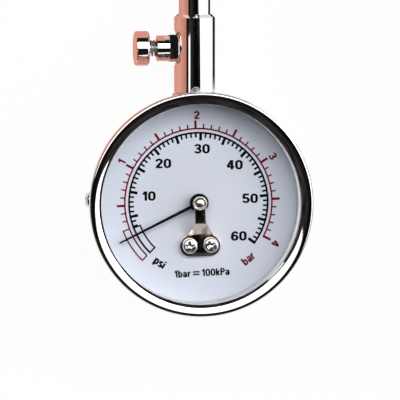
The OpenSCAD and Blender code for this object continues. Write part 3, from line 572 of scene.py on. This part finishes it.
psiNumbers = {"10": (-12.02, 1.63), "20": (-8.51, 9.48), "30": (0.84, 12.93), "40": (8.75, 9.02),
              "50": (12.51, 0.88), "60": (9.78, -8.20)}
barNumbers = {"1": (-18.55, 9.94), "2": (-0.41, 21.07), "3": (18.05, 11.0), "4": (18.72, -10.13)}
words = {
    "psiNumbers": {"high": 2.25, "wide": 1.16, "weight": 0.24, "gap": 0.1, "turn": 0},
    "barNumbers": {"high": 1.9, "wide": 1.05, "weight": 0.235, "gap": 0.1},
    "psiWord": {"text": "psi", "at": (-9.35, -14.4), "turn": -34, "high": 2.0, "wide": 0.9,
                "weight": 0.27, "gap": 0.1},
    "barWord": {"text": "bar", "at": (12.07, -13.67), "turn": 40, "high": 2.0, "wide": 0.9,
                "weight": 0.25, "gap": 0.08},
    "noteWord": {"text": "1bar = 100kPa", "at": (0.84, -17.02), "turn": 2.5, "high": 1.72, "wide": 0.955,
                 "weight": 0.24, "gap": 0.1},
}


def buildWords():
    bm = bmesh.new()
    for text, at in psiNumbers.items():
        addWord(bm, text, {**words["psiNumbers"], "at": at})
    printInk(bm, "psiNumbers", blackInk)
    bm = bmesh.new()
    for text, at in barNumbers.items():
        outward = math.degrees(math.atan2(at[1], at[0])) - 90
        addWord(bm, text, {**words["barNumbers"], "at": at, "turn": outward})
    printInk(bm, "barNumbers", redInk)
    for name, ink in (("psiWord", blackInk), ("barWord", redInk), ("noteWord", blackInk)):
        bm = bmesh.new()
        addWord(bm, words[name]["text"], words[name])
        printInk(bm, name, ink)


buildWords()
print("dial printed")


# Pointer: thin tapered needle on a flat round hub, over the dial and under the bridge
needle = {"rest": 206.4, "reach": 21.5, "root": 0.76, "tip": 0.42, "thick": 0.35, "low": 17.8,
          "hub": 2.28, "hubThick": 0.6, "bore": 0.75, "sunk": 0.3, "edge": 0.06, "hubEdge": 0.1, "steps": 96}


def buildPointer(s):
    top = s["low"] + s["hubThick"]
    profile = [(s["bore"], s["low"]), (s["hub"], s["low"]), (s["hub"], top), (s["bore"], top)]
    bm = turnedShape(profile, s["steps"])
    softenEdges(bm, s["hubEdge"], minAngle=60)
    fitPiece(makeObject(bm, "pointerHub"), needlePaint, "pointer_set", ["pointer"])
    bm = bmesh.new()
    start = s["hub"] - s["sunk"]
    length = s["reach"] - start
    place = Matrix.Translation((start + length / 2, 0, s["low"] + s["thick"] / 2))
    bmesh.ops.create_cube(bm, size=1, matrix=place @ Matrix.Diagonal((length, s["root"], s["thick"], 1)))
    for v in bm.verts:
        if v.co.x > start + length / 2:
            v.co.y *= s["tip"] / s["root"]
    bmesh.ops.rotate(bm, verts=bm.verts[:], cent=(0, 0, 0),
                     matrix=Matrix.Rotation(math.radians(s["rest"]), 3, "Z"))
    softenEdges(bm, s["edge"], minAngle=60)
    fitPiece(makeObject(bm, "pointerNeedle"), needlePaint, "pointer_set", ["pointer"])


buildPointer(needle)

# Bridge: bent nickel strap with rolled edges, copied from the solid and eased
bridgeEdge = {"bend": 0.3, "bendAngle": 40, "round": 0.18, "roundAngle": 60, "steps": 3}


def buildBridge(s):
    bm = nodeCopy("bridge")
    softenEdges(bm, s["bend"], s["steps"], s["bendAngle"], s["roundAngle"], clamp=False)
    softenEdges(bm, s["round"], s["steps"], s["roundAngle"], clamp=False)
    fitPiece(makeObject(bm, "bridgeStrap"), nickel, nodes=["bridge"])


buildBridge(bridgeEdge)

# Front bearing: a polished dome, and the rolled collar that holds it
dome = {"r": 1.19, "high": 0.45, "base": 20.0, "shank": 0.9, "low": 19.2, "bore": 0.5, "boreTop": 20.1,
        "collar": 1.67, "collarHigh": 0.21, "steps": 96}


def buildDome(s):
    ball = (s["r"] ** 2 + s["high"] ** 2) / (2 * s["high"])
    middle = s["base"] + s["high"] - ball
    rim = s["base"] + s["collarHigh"]
    edge = math.degrees(math.asin((rim - middle) / ball))
    profile = [(0, s["boreTop"]), (s["bore"], s["boreTop"]), (s["bore"], s["low"]), (s["shank"], s["low"]),
               (s["shank"], rim)]
    profile += arcPoints(0, middle, ball, edge, 90, 16)
    cap = makeObject(turnedShape(profile, s["steps"], closed=False), "pivotDome", 50)
    fitPiece(cap, polished, nodes=["pivot_cap"])
    bead = arcPoints(s["collar"] - s["collarHigh"], s["base"], s["collarHigh"], 0, 180, 14)
    collar = makeObject(turnedShape(bead, s["steps"]), "pivotCollar", 50)
    fitPiece(collar, nickel, nodes=["pivot_cap"])


buildDome(dome)

# Cross-head screws: pan heads with a tapered cross, on the bridge's foot and on the case's sides
screw = {"head": 1.85, "shank": 1.0, "roundShare": 0.55, "roundEnd": 78, "crownR": 0.555,
         "crown": (0.06, 0.08), "cross": 0.7, "reach": 1.38, "taper": 0.6, "deep": 0.85, "over": 0.4,
         "wellR": (0.04, 0.5), "well": 0.22, "wellDown": 0.1, "steps": 64,
         "bridge": {"high": 1.25, "length": 6, "gap": 5.1, "foot": 10.35, "turn": 2.0, "z": 17.2,
                    "crossTurn": (8, 32)},
         "side": {"high": 1.9, "length": 2.0, "r": 24.5, "z": 6.0, "crossTurn": (15, 40)}}


def screwShape(high, length, crossTurn):
    edge = high * screw["roundShare"]
    profile = [(0, -length), (screw["shank"], -length), (screw["shank"], 0), (screw["head"], 0)]
    profile += arcPoints(screw["head"] - edge, high - edge, edge, 0, screw["roundEnd"], 8)
    profile += [(screw["crownR"], high + screw["crown"][0]), (0, high + screw["crown"][1])]
    bm = turnedShape(profile, screw["steps"], closed=False)
    cutters = []
    for turn in (crossTurn, crossTurn + 90):
        tool = bmesh.new()
        size = Matrix.Diagonal((2 * screw["reach"], screw["cross"], screw["deep"] + screw["over"], 1))
        lift = Matrix.Translation((0, 0, high - screw["deep"] / 2 + screw["over"] / 2))
        bmesh.ops.create_cube(tool, size=1, matrix=lift @ size)
        for v in tool.verts:
            if v.co.z < high:  # the cross's floor
                v.co.x *= screw["taper"]
        bmesh.ops.rotate(tool, verts=tool.verts[:], cent=(0, 0, 0),
                         matrix=Matrix.Rotation(math.radians(turn), 3, "Z"))
        cutters.append(tool)
    well = bmesh.new()
    bmesh.ops.create_cone(well, cap_ends=True, segments=screw["steps"] // 2, radius1=screw["wellR"][0],
                          radius2=screw["wellR"][1], depth=screw["well"],
                          matrix=Matrix.Translation((0, 0, high - screw["deep"] - screw["wellDown"])))
    return cutAway(bm, cutters + [well])


def buildScrews(name, places, s, node):
    whole = bmesh.new()
    for place, turn in zip(places, s["crossTurn"]):
        one = screwShape(s["high"], s["length"], turn)
        bmesh.ops.transform(one, matrix=place, verts=one.verts[:])
        joinInto(whole, one)
    fitPiece(makeObject(whole, name), plated, nodes=[node])


def footPlaces(s):
    turn = Matrix.Rotation(math.radians(s["turn"]), 4, "Z")
    return [turn @ Matrix.Translation((side * s["gap"] / 2, -s["foot"], s["z"])) for side in (-1, 1)]


def sidePlaces(s):
    outward = Matrix.Translation((s["r"], 0, s["z"])) @ Matrix.Rotation(math.radians(90), 4, "Y")
    return [Matrix.Rotation(math.radians(a), 4, "Z") @ outward for a in (0, 180)]


buildScrews("bridgeScrews", footPlaces(screw["bridge"]), screw["bridge"], "bridge_screws")
buildScrews("sideScrews", sidePlaces(screw["side"]), screw["side"], "side_screws")
print("pointer, bridge and screws built")


# Stem: turned body with a spot face for the bleed valve, then a long tube
stem = {"foot": 25.8, "r": 4.95, "length": 19.2, "edge": 0.8, "spigot": 3.3, "spigotLength": 6.5,
        "air": 1.5, "tubeBore": 3.9, "seat": 5.0, "faceAt": 4.25, "faceR": 4.05, "valveBore": 2.05,
        "valveFrom": -2, "valveTo": 6, "ease": 0.1, "tubeR": 3.8, "tubeLength": 57.0, "stretches": 12,
        "boreSteps": 64, "steps": 96}


def valveCutter(steps, r0, r1, start, end):
    # A cone along the valve's axis
    cutter = bmesh.new()
    place = bleedAxis @ Matrix.Translation((0, 0, (start + end) / 2))
    bmesh.ops.create_cone(cutter, cap_ends=True, segments=steps, radius1=r0, radius2=r1,
                          depth=end - start, matrix=place)
    return cutter


def buildStem(s):
    top, seat, half = s["length"], s["length"] - s["seat"], s["edge"] / 2
    profile = [(s["spigot"], 0), (s["r"] - half, 0)]
    # The long side in even stretches
    rise = (top - s["edge"] - half) / s["stretches"]
    profile += [(s["r"], half + rise * k) for k in range(s["stretches"] + 1)]
    profile += [(s["r"] - s["edge"], top), (s["tubeBore"], top), (s["tubeBore"], seat), (s["air"], seat),
                (s["air"], s["spigotLength"]), (s["spigot"], s["spigotLength"])]
    body = turnedShape(profile, s["steps"], stemAxis @ Matrix.Translation((0, 0, s["foot"])))
    face = valveCutter(s["steps"], s["faceR"], s["faceR"] + s["r"], s["faceAt"], s["faceAt"] + s["r"])
    bore = valveCutter(s["boreSteps"], s["valveBore"], s["valveBore"], s["valveFrom"], s["valveTo"])
    body = cutAway(body, [face, bore])
    softenEdges(body, s["ease"], minAngle=30)
    fitPiece(makeObject(body, "stemBody"), chrome, nodes=["stem_body"])
    length = s["tubeLength"]
    profile = [(s["air"], 0), (s["tubeR"], 0), (s["tubeR"], length), (s["air"], length)]
    tube = turnedShape(profile, s["steps"], stemAxis @ Matrix.Translation((0, 0, s["foot"] + seat)))
    fitPiece(makeObject(tube, "stemTube"), chrome, nodes=["stem_tube"])


buildStem(stem)

# Saddle washer between stem and case, and the valve body with its hexagon: copies with eased edges
easedCopies = {"case_washer": "caseWasher", "bleed_body": "bleedValveBody"}
copyEdge = 0.1
for node, name in easedCopies.items():
    bm = nodeCopy(node)
    softenEdges(bm, copyEdge, minAngle=40)
    fitPiece(makeObject(bm, name), chrome, nodes=[node])

# Bleed button: round head with a shallow dish for the thumb, on its rod
button = {"at": 11.1, "r": 4.2, "thick": 3.6, "round": 0.7, "dish": 0.35, "dishR": 3.0,
          "dishCurve": ((1, 0), (0.7, 0.7), (0.35, 0.95), (0, 1)), "boss": 1.3, "bossHigh": 0.9, "rod": 0.95,
          "rodEnd": -0.1, "steps": 96}


def buildButton(s):
    top, boss = s["at"] + s["thick"], s["at"] - s["bossHigh"]
    profile = [(0, s["rodEnd"]), (s["rod"], s["rodEnd"]), (s["rod"], boss), (s["boss"], boss),
               (s["boss"], s["at"])]
    profile += arcPoints(s["r"] - s["round"], s["at"] + s["round"], s["round"], -90, 0, 6)
    profile += arcPoints(s["r"] - s["round"], top - s["round"], s["round"], 0, 90, 6)
    profile += [(s["dishR"] * r, top - s["dish"] * d) for r, d in s["dishCurve"]]
    bm = turnedShape(profile, s["steps"], bleedAxis, closed=False)
    fitPiece(makeObject(bm, "bleedButton", 50), chrome, "bleed", ["bleed_button"])


buildButton(button)

# Return spring of the bleed button, a coil of round wire round the valve's axis
coil = {"r": 1.8, "wire": 0.22, "turns": 5.5, "low": 6.87, "high": 10.83, "travel": 1.6, "perTurn": 32,
        "sides": 12}


def buildSpring(s):
    bm = bmesh.new()
    start = Matrix.Translation((s["r"], 0, s["low"])) @ Matrix.Rotation(math.radians(90), 4, "X")
    bmesh.ops.create_circle(bm, segments=s["sides"], radius=s["wire"], cap_ends=True, matrix=start)
    steps = int(s["turns"] * s["perTurn"])
    rise = s["high"] - s["low"]
    bmesh.ops.spin(bm, geom=bm.verts[:] + bm.edges[:] + bm.faces[:], cent=(0, 0, 0), axis=(0, 0, 1),
                   dvec=(0, 0, rise / steps), angle=math.tau * s["turns"], steps=steps)
    bmesh.ops.remove_doubles(bm, verts=bm.verts[:], dist=weldGap)
    bmesh.ops.recalc_face_normals(bm, faces=bm.faces[:])
    bmesh.ops.transform(bm, matrix=bleedAxis, verts=bm.verts[:])
    piece = makeObject(bm, "bleedSpring", 60, even=False)
    fitPiece(piece, spring, "gauge", ["bleed_spring"])
    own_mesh(piece)


buildSpring(coil)

# Chuck: grooved grip with a coned neck, and a nose cap that holds the seal
chuck = {"foot": 92.0, "length": 14.5, "neckR": 5.6, "neck": 3.0, "cone": 3.5, "r": 8.0, "front": 3.5,
         "frontR": 6.2, "grooves": 3, "grooveW": 0.8, "grooveD": 0.5, "tubeBore": 3.9, "seat": 5.0,
         "air": 1.5, "wellR": 3.4, "well": 7.0, "noseR": 7.4, "noseIn": 6.3, "noseLength": 12.0,
         "mouthR": 4.15, "mouth": 6.0, "edge": 1.6, "chamfer": 0.4, "ease": 0.15, "noseEase": 0.2,
         "steps": 96}


def buildChuck(s):
    grip = s["neck"] + s["cone"]
    end = s["length"] + s["front"]
    profile = [(s["tubeBore"], 0), (s["neckR"] - s["chamfer"], 0), (s["neckR"], s["chamfer"]),
               (s["neckR"], s["neck"]), (s["r"], grip)]
    root = s["r"] - s["grooveD"]
    for k in range(1, s["grooves"] + 1):
        at = grip + (s["length"] - grip) * k / (s["grooves"] + 1)
        low, high = at - s["grooveW"] / 2, at + s["grooveW"] / 2
        profile += [(s["r"], low), (root, low), (root, high), (s["r"], high)]
    profile += [(s["r"], s["length"]), (s["frontR"], s["length"]), (s["frontR"], end), (s["wellR"], end),
                (s["wellR"], end - s["well"]), (s["air"], end - s["well"]), (s["air"], s["seat"]),
                (s["tubeBore"], s["seat"])]
    bm = turnedShape(profile, s["steps"], stemAxis @ Matrix.Translation((0, 0, s["foot"])))
    softenEdges(bm, s["ease"], minAngle=25)
    fitPiece(makeObject(bm, "chuckBody"), chrome, nodes=["chuck_body"])
    total = s["noseLength"]
    floor = total - s["mouth"]
    profile = [(s["noseIn"], 0), (s["noseR"], 0), (s["noseR"], total - s["edge"]),
               (s["noseR"] - s["edge"], total), (s["mouthR"], total), (s["mouthR"], floor),
               (s["noseIn"], floor)]
    bm = turnedShape(profile, s["steps"], stemAxis @ Matrix.Translation((0, 0, s["foot"] + s["length"])))
    softenEdges(bm, s["noseEase"], steps=3, minAngle=25)
    fitPiece(makeObject(bm, "chuckNose"), chrome, nodes=["chuck_cap"])


buildChuck(chuck)
print("stem, valve and chuck built")

# Bourdon tube: a copy of the solid, curved from its socket to the tip that moves in the real gauge; here it
# keeps its shape
tubePiece = makeObject(nodeCopy("bourdon_tube"), "bourdonTube", even=False)
tubePiece.data.materials.append(bronze)
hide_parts("bourdon_tube")
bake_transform(tubePiece)

# Solids that stay as they are, each with its own finish
keptNodes = [
    (rubber, ["lens_gasket", "bleed_seal", "chuck_seal"]),
    (brass, ["movement_plate", "bridge_pillars", "rear_bush", "socket_block", "tip_block", "link_bar",
             "sector_gear", "hairspring_post", "bleed_poppet", "depressor"]),
    (steel, ["plate_screws", "link_pin", "sector_stud", "pinion_arbor"]),
    (spring, ["hairspring", "sector_clip"]),
]
for finish, nodes in keptNodes:
    for node in nodes:
        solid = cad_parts[node]
        solid.data.materials.clear()
        solid.data.materials.append(finish)
print("movement dressed")


# Floor: pale table, white to the camera, with the part's soft shadow
table = {"size": 3000, "drop": 0.05, "colour": (0.86, 0.86, 0.87), "rough": 0.9, "seen": 0.96,
         "mirrored": 0.45}


def buildFloor(s):
    bm = bmesh.new()
    bmesh.ops.create_grid(bm, x_segments=1, y_segments=1, size=s["size"] / 2,
                          matrix=Matrix.Translation((0, 0, -s["drop"])))
    floor = makeObject(bm, "floor")
    finish, nodes, links, shader = newMaterial("paleTable")
    shader.inputs["Base Color"].default_value = (*s["colour"], 1)
    shader.inputs["Roughness"].default_value = s["rough"]
    glow = nodes.new("ShaderNodeEmission")
    path = nodes.new("ShaderNodeLightPath")
    seen = nodes.new("ShaderNodeMath")
    seen.operation = "MULTIPLY"
    seen.inputs[1].default_value = s["seen"]
    both = nodes.new("ShaderNodeMath")
    both.operation = "MULTIPLY_ADD"
    both.inputs[1].default_value = s["mirrored"]
    direct = nodes.new("ShaderNodeMath")
    direct.operation = "MAXIMUM"
    links.new(path.outputs["Is Camera Ray"], direct.inputs[0])
    links.new(path.outputs["Is Transmission Ray"], direct.inputs[1])
    links.new(direct.outputs["Value"], seen.inputs[0])
    links.new(path.outputs["Is Glossy Ray"], both.inputs[0])
    links.new(seen.outputs["Value"], both.inputs[2])
    mix = nodes.new("ShaderNodeMixShader")
    links.new(both.outputs["Value"], mix.inputs["Fac"])
    links.new(shader.outputs["BSDF"], mix.inputs[1])
    links.new(glow.outputs["Emission"], mix.inputs[2])
    links.new(mix.outputs["Shader"], nodes["Material Output"].inputs["Surface"])
    floor.data.materials.append(finish)


buildFloor(table)

# Studio: one large softbox overhead in a dark room, with a slanting near edge; the camera sees plain white.
# It is set out on a plane one unit above the part, and its light grows towards the far right.
room = {"strength": 8.8, "blur": 0.025, "x": (-0.88, 1.9), "y": (-0.85, 0.97), "near": 0.03,
        "slant": 0.13, "bendAt": 0.5, "bend": 0.6, "low": 0.26, "rise": (0.54, 0.84), "from": 0.15,
        "to": 1.85, "leastZ": 0.05, "skyline": 0.06, "camera": (0.11, -0.08), "dark": (0.002, 0.03),
        "darkTo": 0.9, "patches": 7, "patchRange": (0.35, 0.65), "uneven": (0.25, 1.75),
        "tint": (1.0, 0.9, 0.83)}


def buildRoom(s):
    world = bpy.data.worlds.new("studio")
    scene.world = world
    world.use_nodes = True
    nodes, links = world.node_tree.nodes, world.node_tree.links
    nodes.clear()
    coords = nodes.new("ShaderNodeTexCoord")
    parts = nodes.new("ShaderNodeSeparateXYZ")
    links.new(coords.outputs["Generated"], parts.inputs["Vector"])

    def join(kind, a, b):
        node = nodes.new("ShaderNodeMath")
        node.operation = kind
        for socket, value in zip(node.inputs, (a, b)):
            if isinstance(value, (int, float)):
                socket.default_value = value
            else:
                links.new(value, socket)
        return node.outputs["Value"]

    def ramp(value, start, end, low, high):
        node = nodes.new("ShaderNodeMapRange")
        node.interpolation_type = "SMOOTHSTEP"
        for label, number in (("From Min", start), ("From Max", end), ("To Min", low), ("To Max", high)):
            node.inputs[label].default_value = number
        links.new(value, node.inputs["Value"])
        return node.outputs["Result"]

    def step(value, edge, rising=True):
        return ramp(value, edge - s["blur"], edge + s["blur"], *((0, 1) if rising else (1, 0)))

    up = join("MAXIMUM", parts.outputs["Z"], s["leastZ"])
    x = join("DIVIDE", parts.outputs["X"], up)
    y = join("DIVIDE", parts.outputs["Y"], up)
    bent = join("MULTIPLY", join("MAXIMUM", join("SUBTRACT", x, s["bendAt"]), 0), s["bend"])
    lit = step(join("ADD", join("ADD", y, bent), join("MULTIPLY", x, s["slant"])), s["near"])
    for value, edge, rising in ((x, s["x"][0], True), (x, s["x"][1], False), (y, s["y"][0], True),
                                (y, s["y"][1], False), (parts.outputs["Z"], s["skyline"], True)):
        lit = join("MULTIPLY", lit, step(value, edge, rising))
    along = join("ADD", *(join("MULTIPLY", c, r) for c, r in zip((x, y), s["rise"])))
    bright = ramp(along, s["from"], s["to"], s["low"], 1)
    studio = nodes.new("ShaderNodeBackground")
    links.new(join("MULTIPLY", join("MULTIPLY", lit, bright), s["strength"]), studio.inputs["Strength"])
    # The room is darkest round the camera
    away = [join("SUBTRACT", c, m) for c, m in zip((x, y), s["camera"])]
    distance = join("SQRT", join("ADD", *(join("MULTIPLY", d, d) for d in away)), 0)
    walls = nodes.new("ShaderNodeBackground")
    walls.inputs["Color"].default_value = (*s["tint"], 1)
    patches = nodes.new("ShaderNodeTexNoise")
    patches.inputs["Scale"].default_value = s["patches"]
    links.new(coords.outputs["Generated"], patches.inputs["Vector"])
    uneven = ramp(patches.outputs["Fac"], *s["patchRange"], *s["uneven"])
    links.new(join("MULTIPLY", ramp(distance, 0, s["darkTo"], *s["dark"]), uneven), walls.inputs["Strength"])
    both = nodes.new("ShaderNodeAddShader")
    links.new(studio.outputs["Background"], both.inputs[0])
    links.new(walls.outputs["Background"], both.inputs[1])
    white = nodes.new("ShaderNodeBackground")
    white.inputs["Color"].default_value = (1, 1, 1, 1)
    path = nodes.new("ShaderNodeLightPath")
    mix = nodes.new("ShaderNodeMixShader")
    links.new(path.outputs["Is Camera Ray"], mix.inputs["Fac"])
    links.new(both.outputs["Shader"], mix.inputs[1])
    links.new(white.outputs["Background"], mix.inputs[2])
    out = nodes.new("ShaderNodeOutputWorld")
    links.new(mix.outputs["Shader"], out.inputs["Surface"])


buildRoom(room)

# Small cards beside the stem that only the chrome mirrors: warm and pale ones, and a dark one on the table
cards = {"warmCard": {"low": (-30, 9, 0), "high": (-30, 52, 33), "colour": (0.95, 0.45, 0.36),
                      "top": (0.62, 0.22, 0.15), "fade": (7, 25)},
         "warmMat": {"low": (-30, 9, 0.05), "high": (-5.4, 52, 0.05), "colour": (0.86, 0.37, 0.28),
                     "fade": (9, 29)},
         "warmEnd": {"low": (-30, 52, 0), "high": (-6, 52, 14), "colour": (0.86, 0.37, 0.28)},
         "stripCard": {"low": (-30, 21, 46), "high": (-30, 38, 62), "colour": (1.3, 1.3, 1.3)},
         "paleCard": {"low": (30, 18, 0), "high": (30, 52, 26), "colour": (1.3, 1.3, 1.3)},
         "darkMat": {"low": (-5.4, 26, 0.05), "high": (24, 50, 0.05), "colour": (0.02, 0.02, 0.02),
                     "fade": (25, 30)}}
cardThick = 0.02


def buildCard(name, s):
    bm = bmesh.new()
    low, high = Vector(s["low"]), Vector(s["high"])
    size = Matrix.Diagonal((*(max(d, cardThick) for d in high - low), 1))
    bmesh.ops.create_cube(bm, size=1, matrix=Matrix.Translation((low + high) / 2) @ size)
    card = makeObject(bm, name, even=False)
    finish, nodes, links, shader = newMaterial(name)
    shader.inputs["Base Color"].default_value = (0, 0, 0, 1)
    shader.inputs["Specular IOR Level"].default_value = 0
    shader.inputs["Emission Color"].default_value = (*s["colour"], 1)
    shader.inputs["Emission Strength"].default_value = 1
    coords = nodes.new("ShaderNodeTexCoord")
    parts = nodes.new("ShaderNodeSeparateXYZ")
    links.new(coords.outputs["Object"], parts.inputs["Vector"])
    if "top" in s:
        tint = nodes.new("ShaderNodeMix")
        tint.data_type = "RGBA"
        tint.inputs["A"].default_value = (*s["colour"], 1)
        tint.inputs["B"].default_value = (*s["top"], 1)
        rise = nodes.new("ShaderNodeMapRange")
        rise.inputs["From Max"].default_value = high.z * mm
        links.new(parts.outputs["Z"], rise.inputs["Value"])
        links.new(rise.outputs["Result"], tint.inputs["Factor"])
        links.new(tint.outputs["Result"], shader.inputs["Emission Color"])
    if "fade" in s:
        fade = nodes.new("ShaderNodeMapRange")
        for label, at in zip(("From Min", "From Max"), s["fade"]):
            fade.inputs[label].default_value = at * mm
        links.new(parts.outputs["Y"], fade.inputs["Value"])
        links.new(fade.outputs["Result"], shader.inputs["Alpha"])
    card.data.materials.append(finish)
    card.visible_camera = card.visible_diffuse = card.visible_shadow = card.visible_transmission = False


for name, settings in cards.items():
    buildCard(name, settings)

# Low lamp on the left that grazes the bezel and lights the ring inside it; it is kept out of the mirrors
lowLamp = {"towards": (-0.98, -0.06, 0.15), "distance": 500, "long": 420, "high": 30, "watts": 3.0}


def buildLamp(s):
    data = bpy.data.lights.new("lowLamp", "AREA")
    data.shape = "RECTANGLE"
    data.size, data.size_y = s["long"] * mm, s["high"] * mm
    data.energy = s["watts"]
    lamp = bpy.data.objects.new("lowLamp", data)
    scene.collection.objects.link(lamp)
    back = Vector(s["towards"]).normalized()
    lamp.location = back * s["distance"] * mm
    lamp.rotation_euler = back.to_track_quat("Z", "Y").to_euler()
    lamp.visible_camera = lamp.visible_glossy = lamp.visible_transmission = False


buildLamp(lowLamp)

# Camera: nearly straight down on the dial, a little from the left and from the stem's side
view = {"target": (0.41, 0.54, 16.4), "towards": (-0.1106, 0.0805, 1.0), "distance": 1000, "scale": 4.15,
        "pixels": 400, "sensor": 36.0, "clip": (10, 20000)}


def buildCamera(s):
    data = bpy.data.cameras.new("camera")
    data.sensor_width = s["sensor"]
    data.lens = s["scale"] * s["distance"] / s["pixels"] * s["sensor"]
    data.clip_start, data.clip_end = (d * mm for d in s["clip"])
    camera = bpy.data.objects.new("camera", data)
    scene.collection.objects.link(camera)
    back = Vector(s["towards"]).normalized()
    camera.location = (Vector(s["target"]) + back * s["distance"]) * mm
    side = Vector((0, 1, 0)).cross(back).normalized()
    over = back.cross(side)
    camera.rotation_euler = Matrix((side, over, back)).transposed().to_euler()
    scene.camera = camera


buildCamera(view)
scene.view_settings.view_transform = "Standard"
print("stage and camera set")
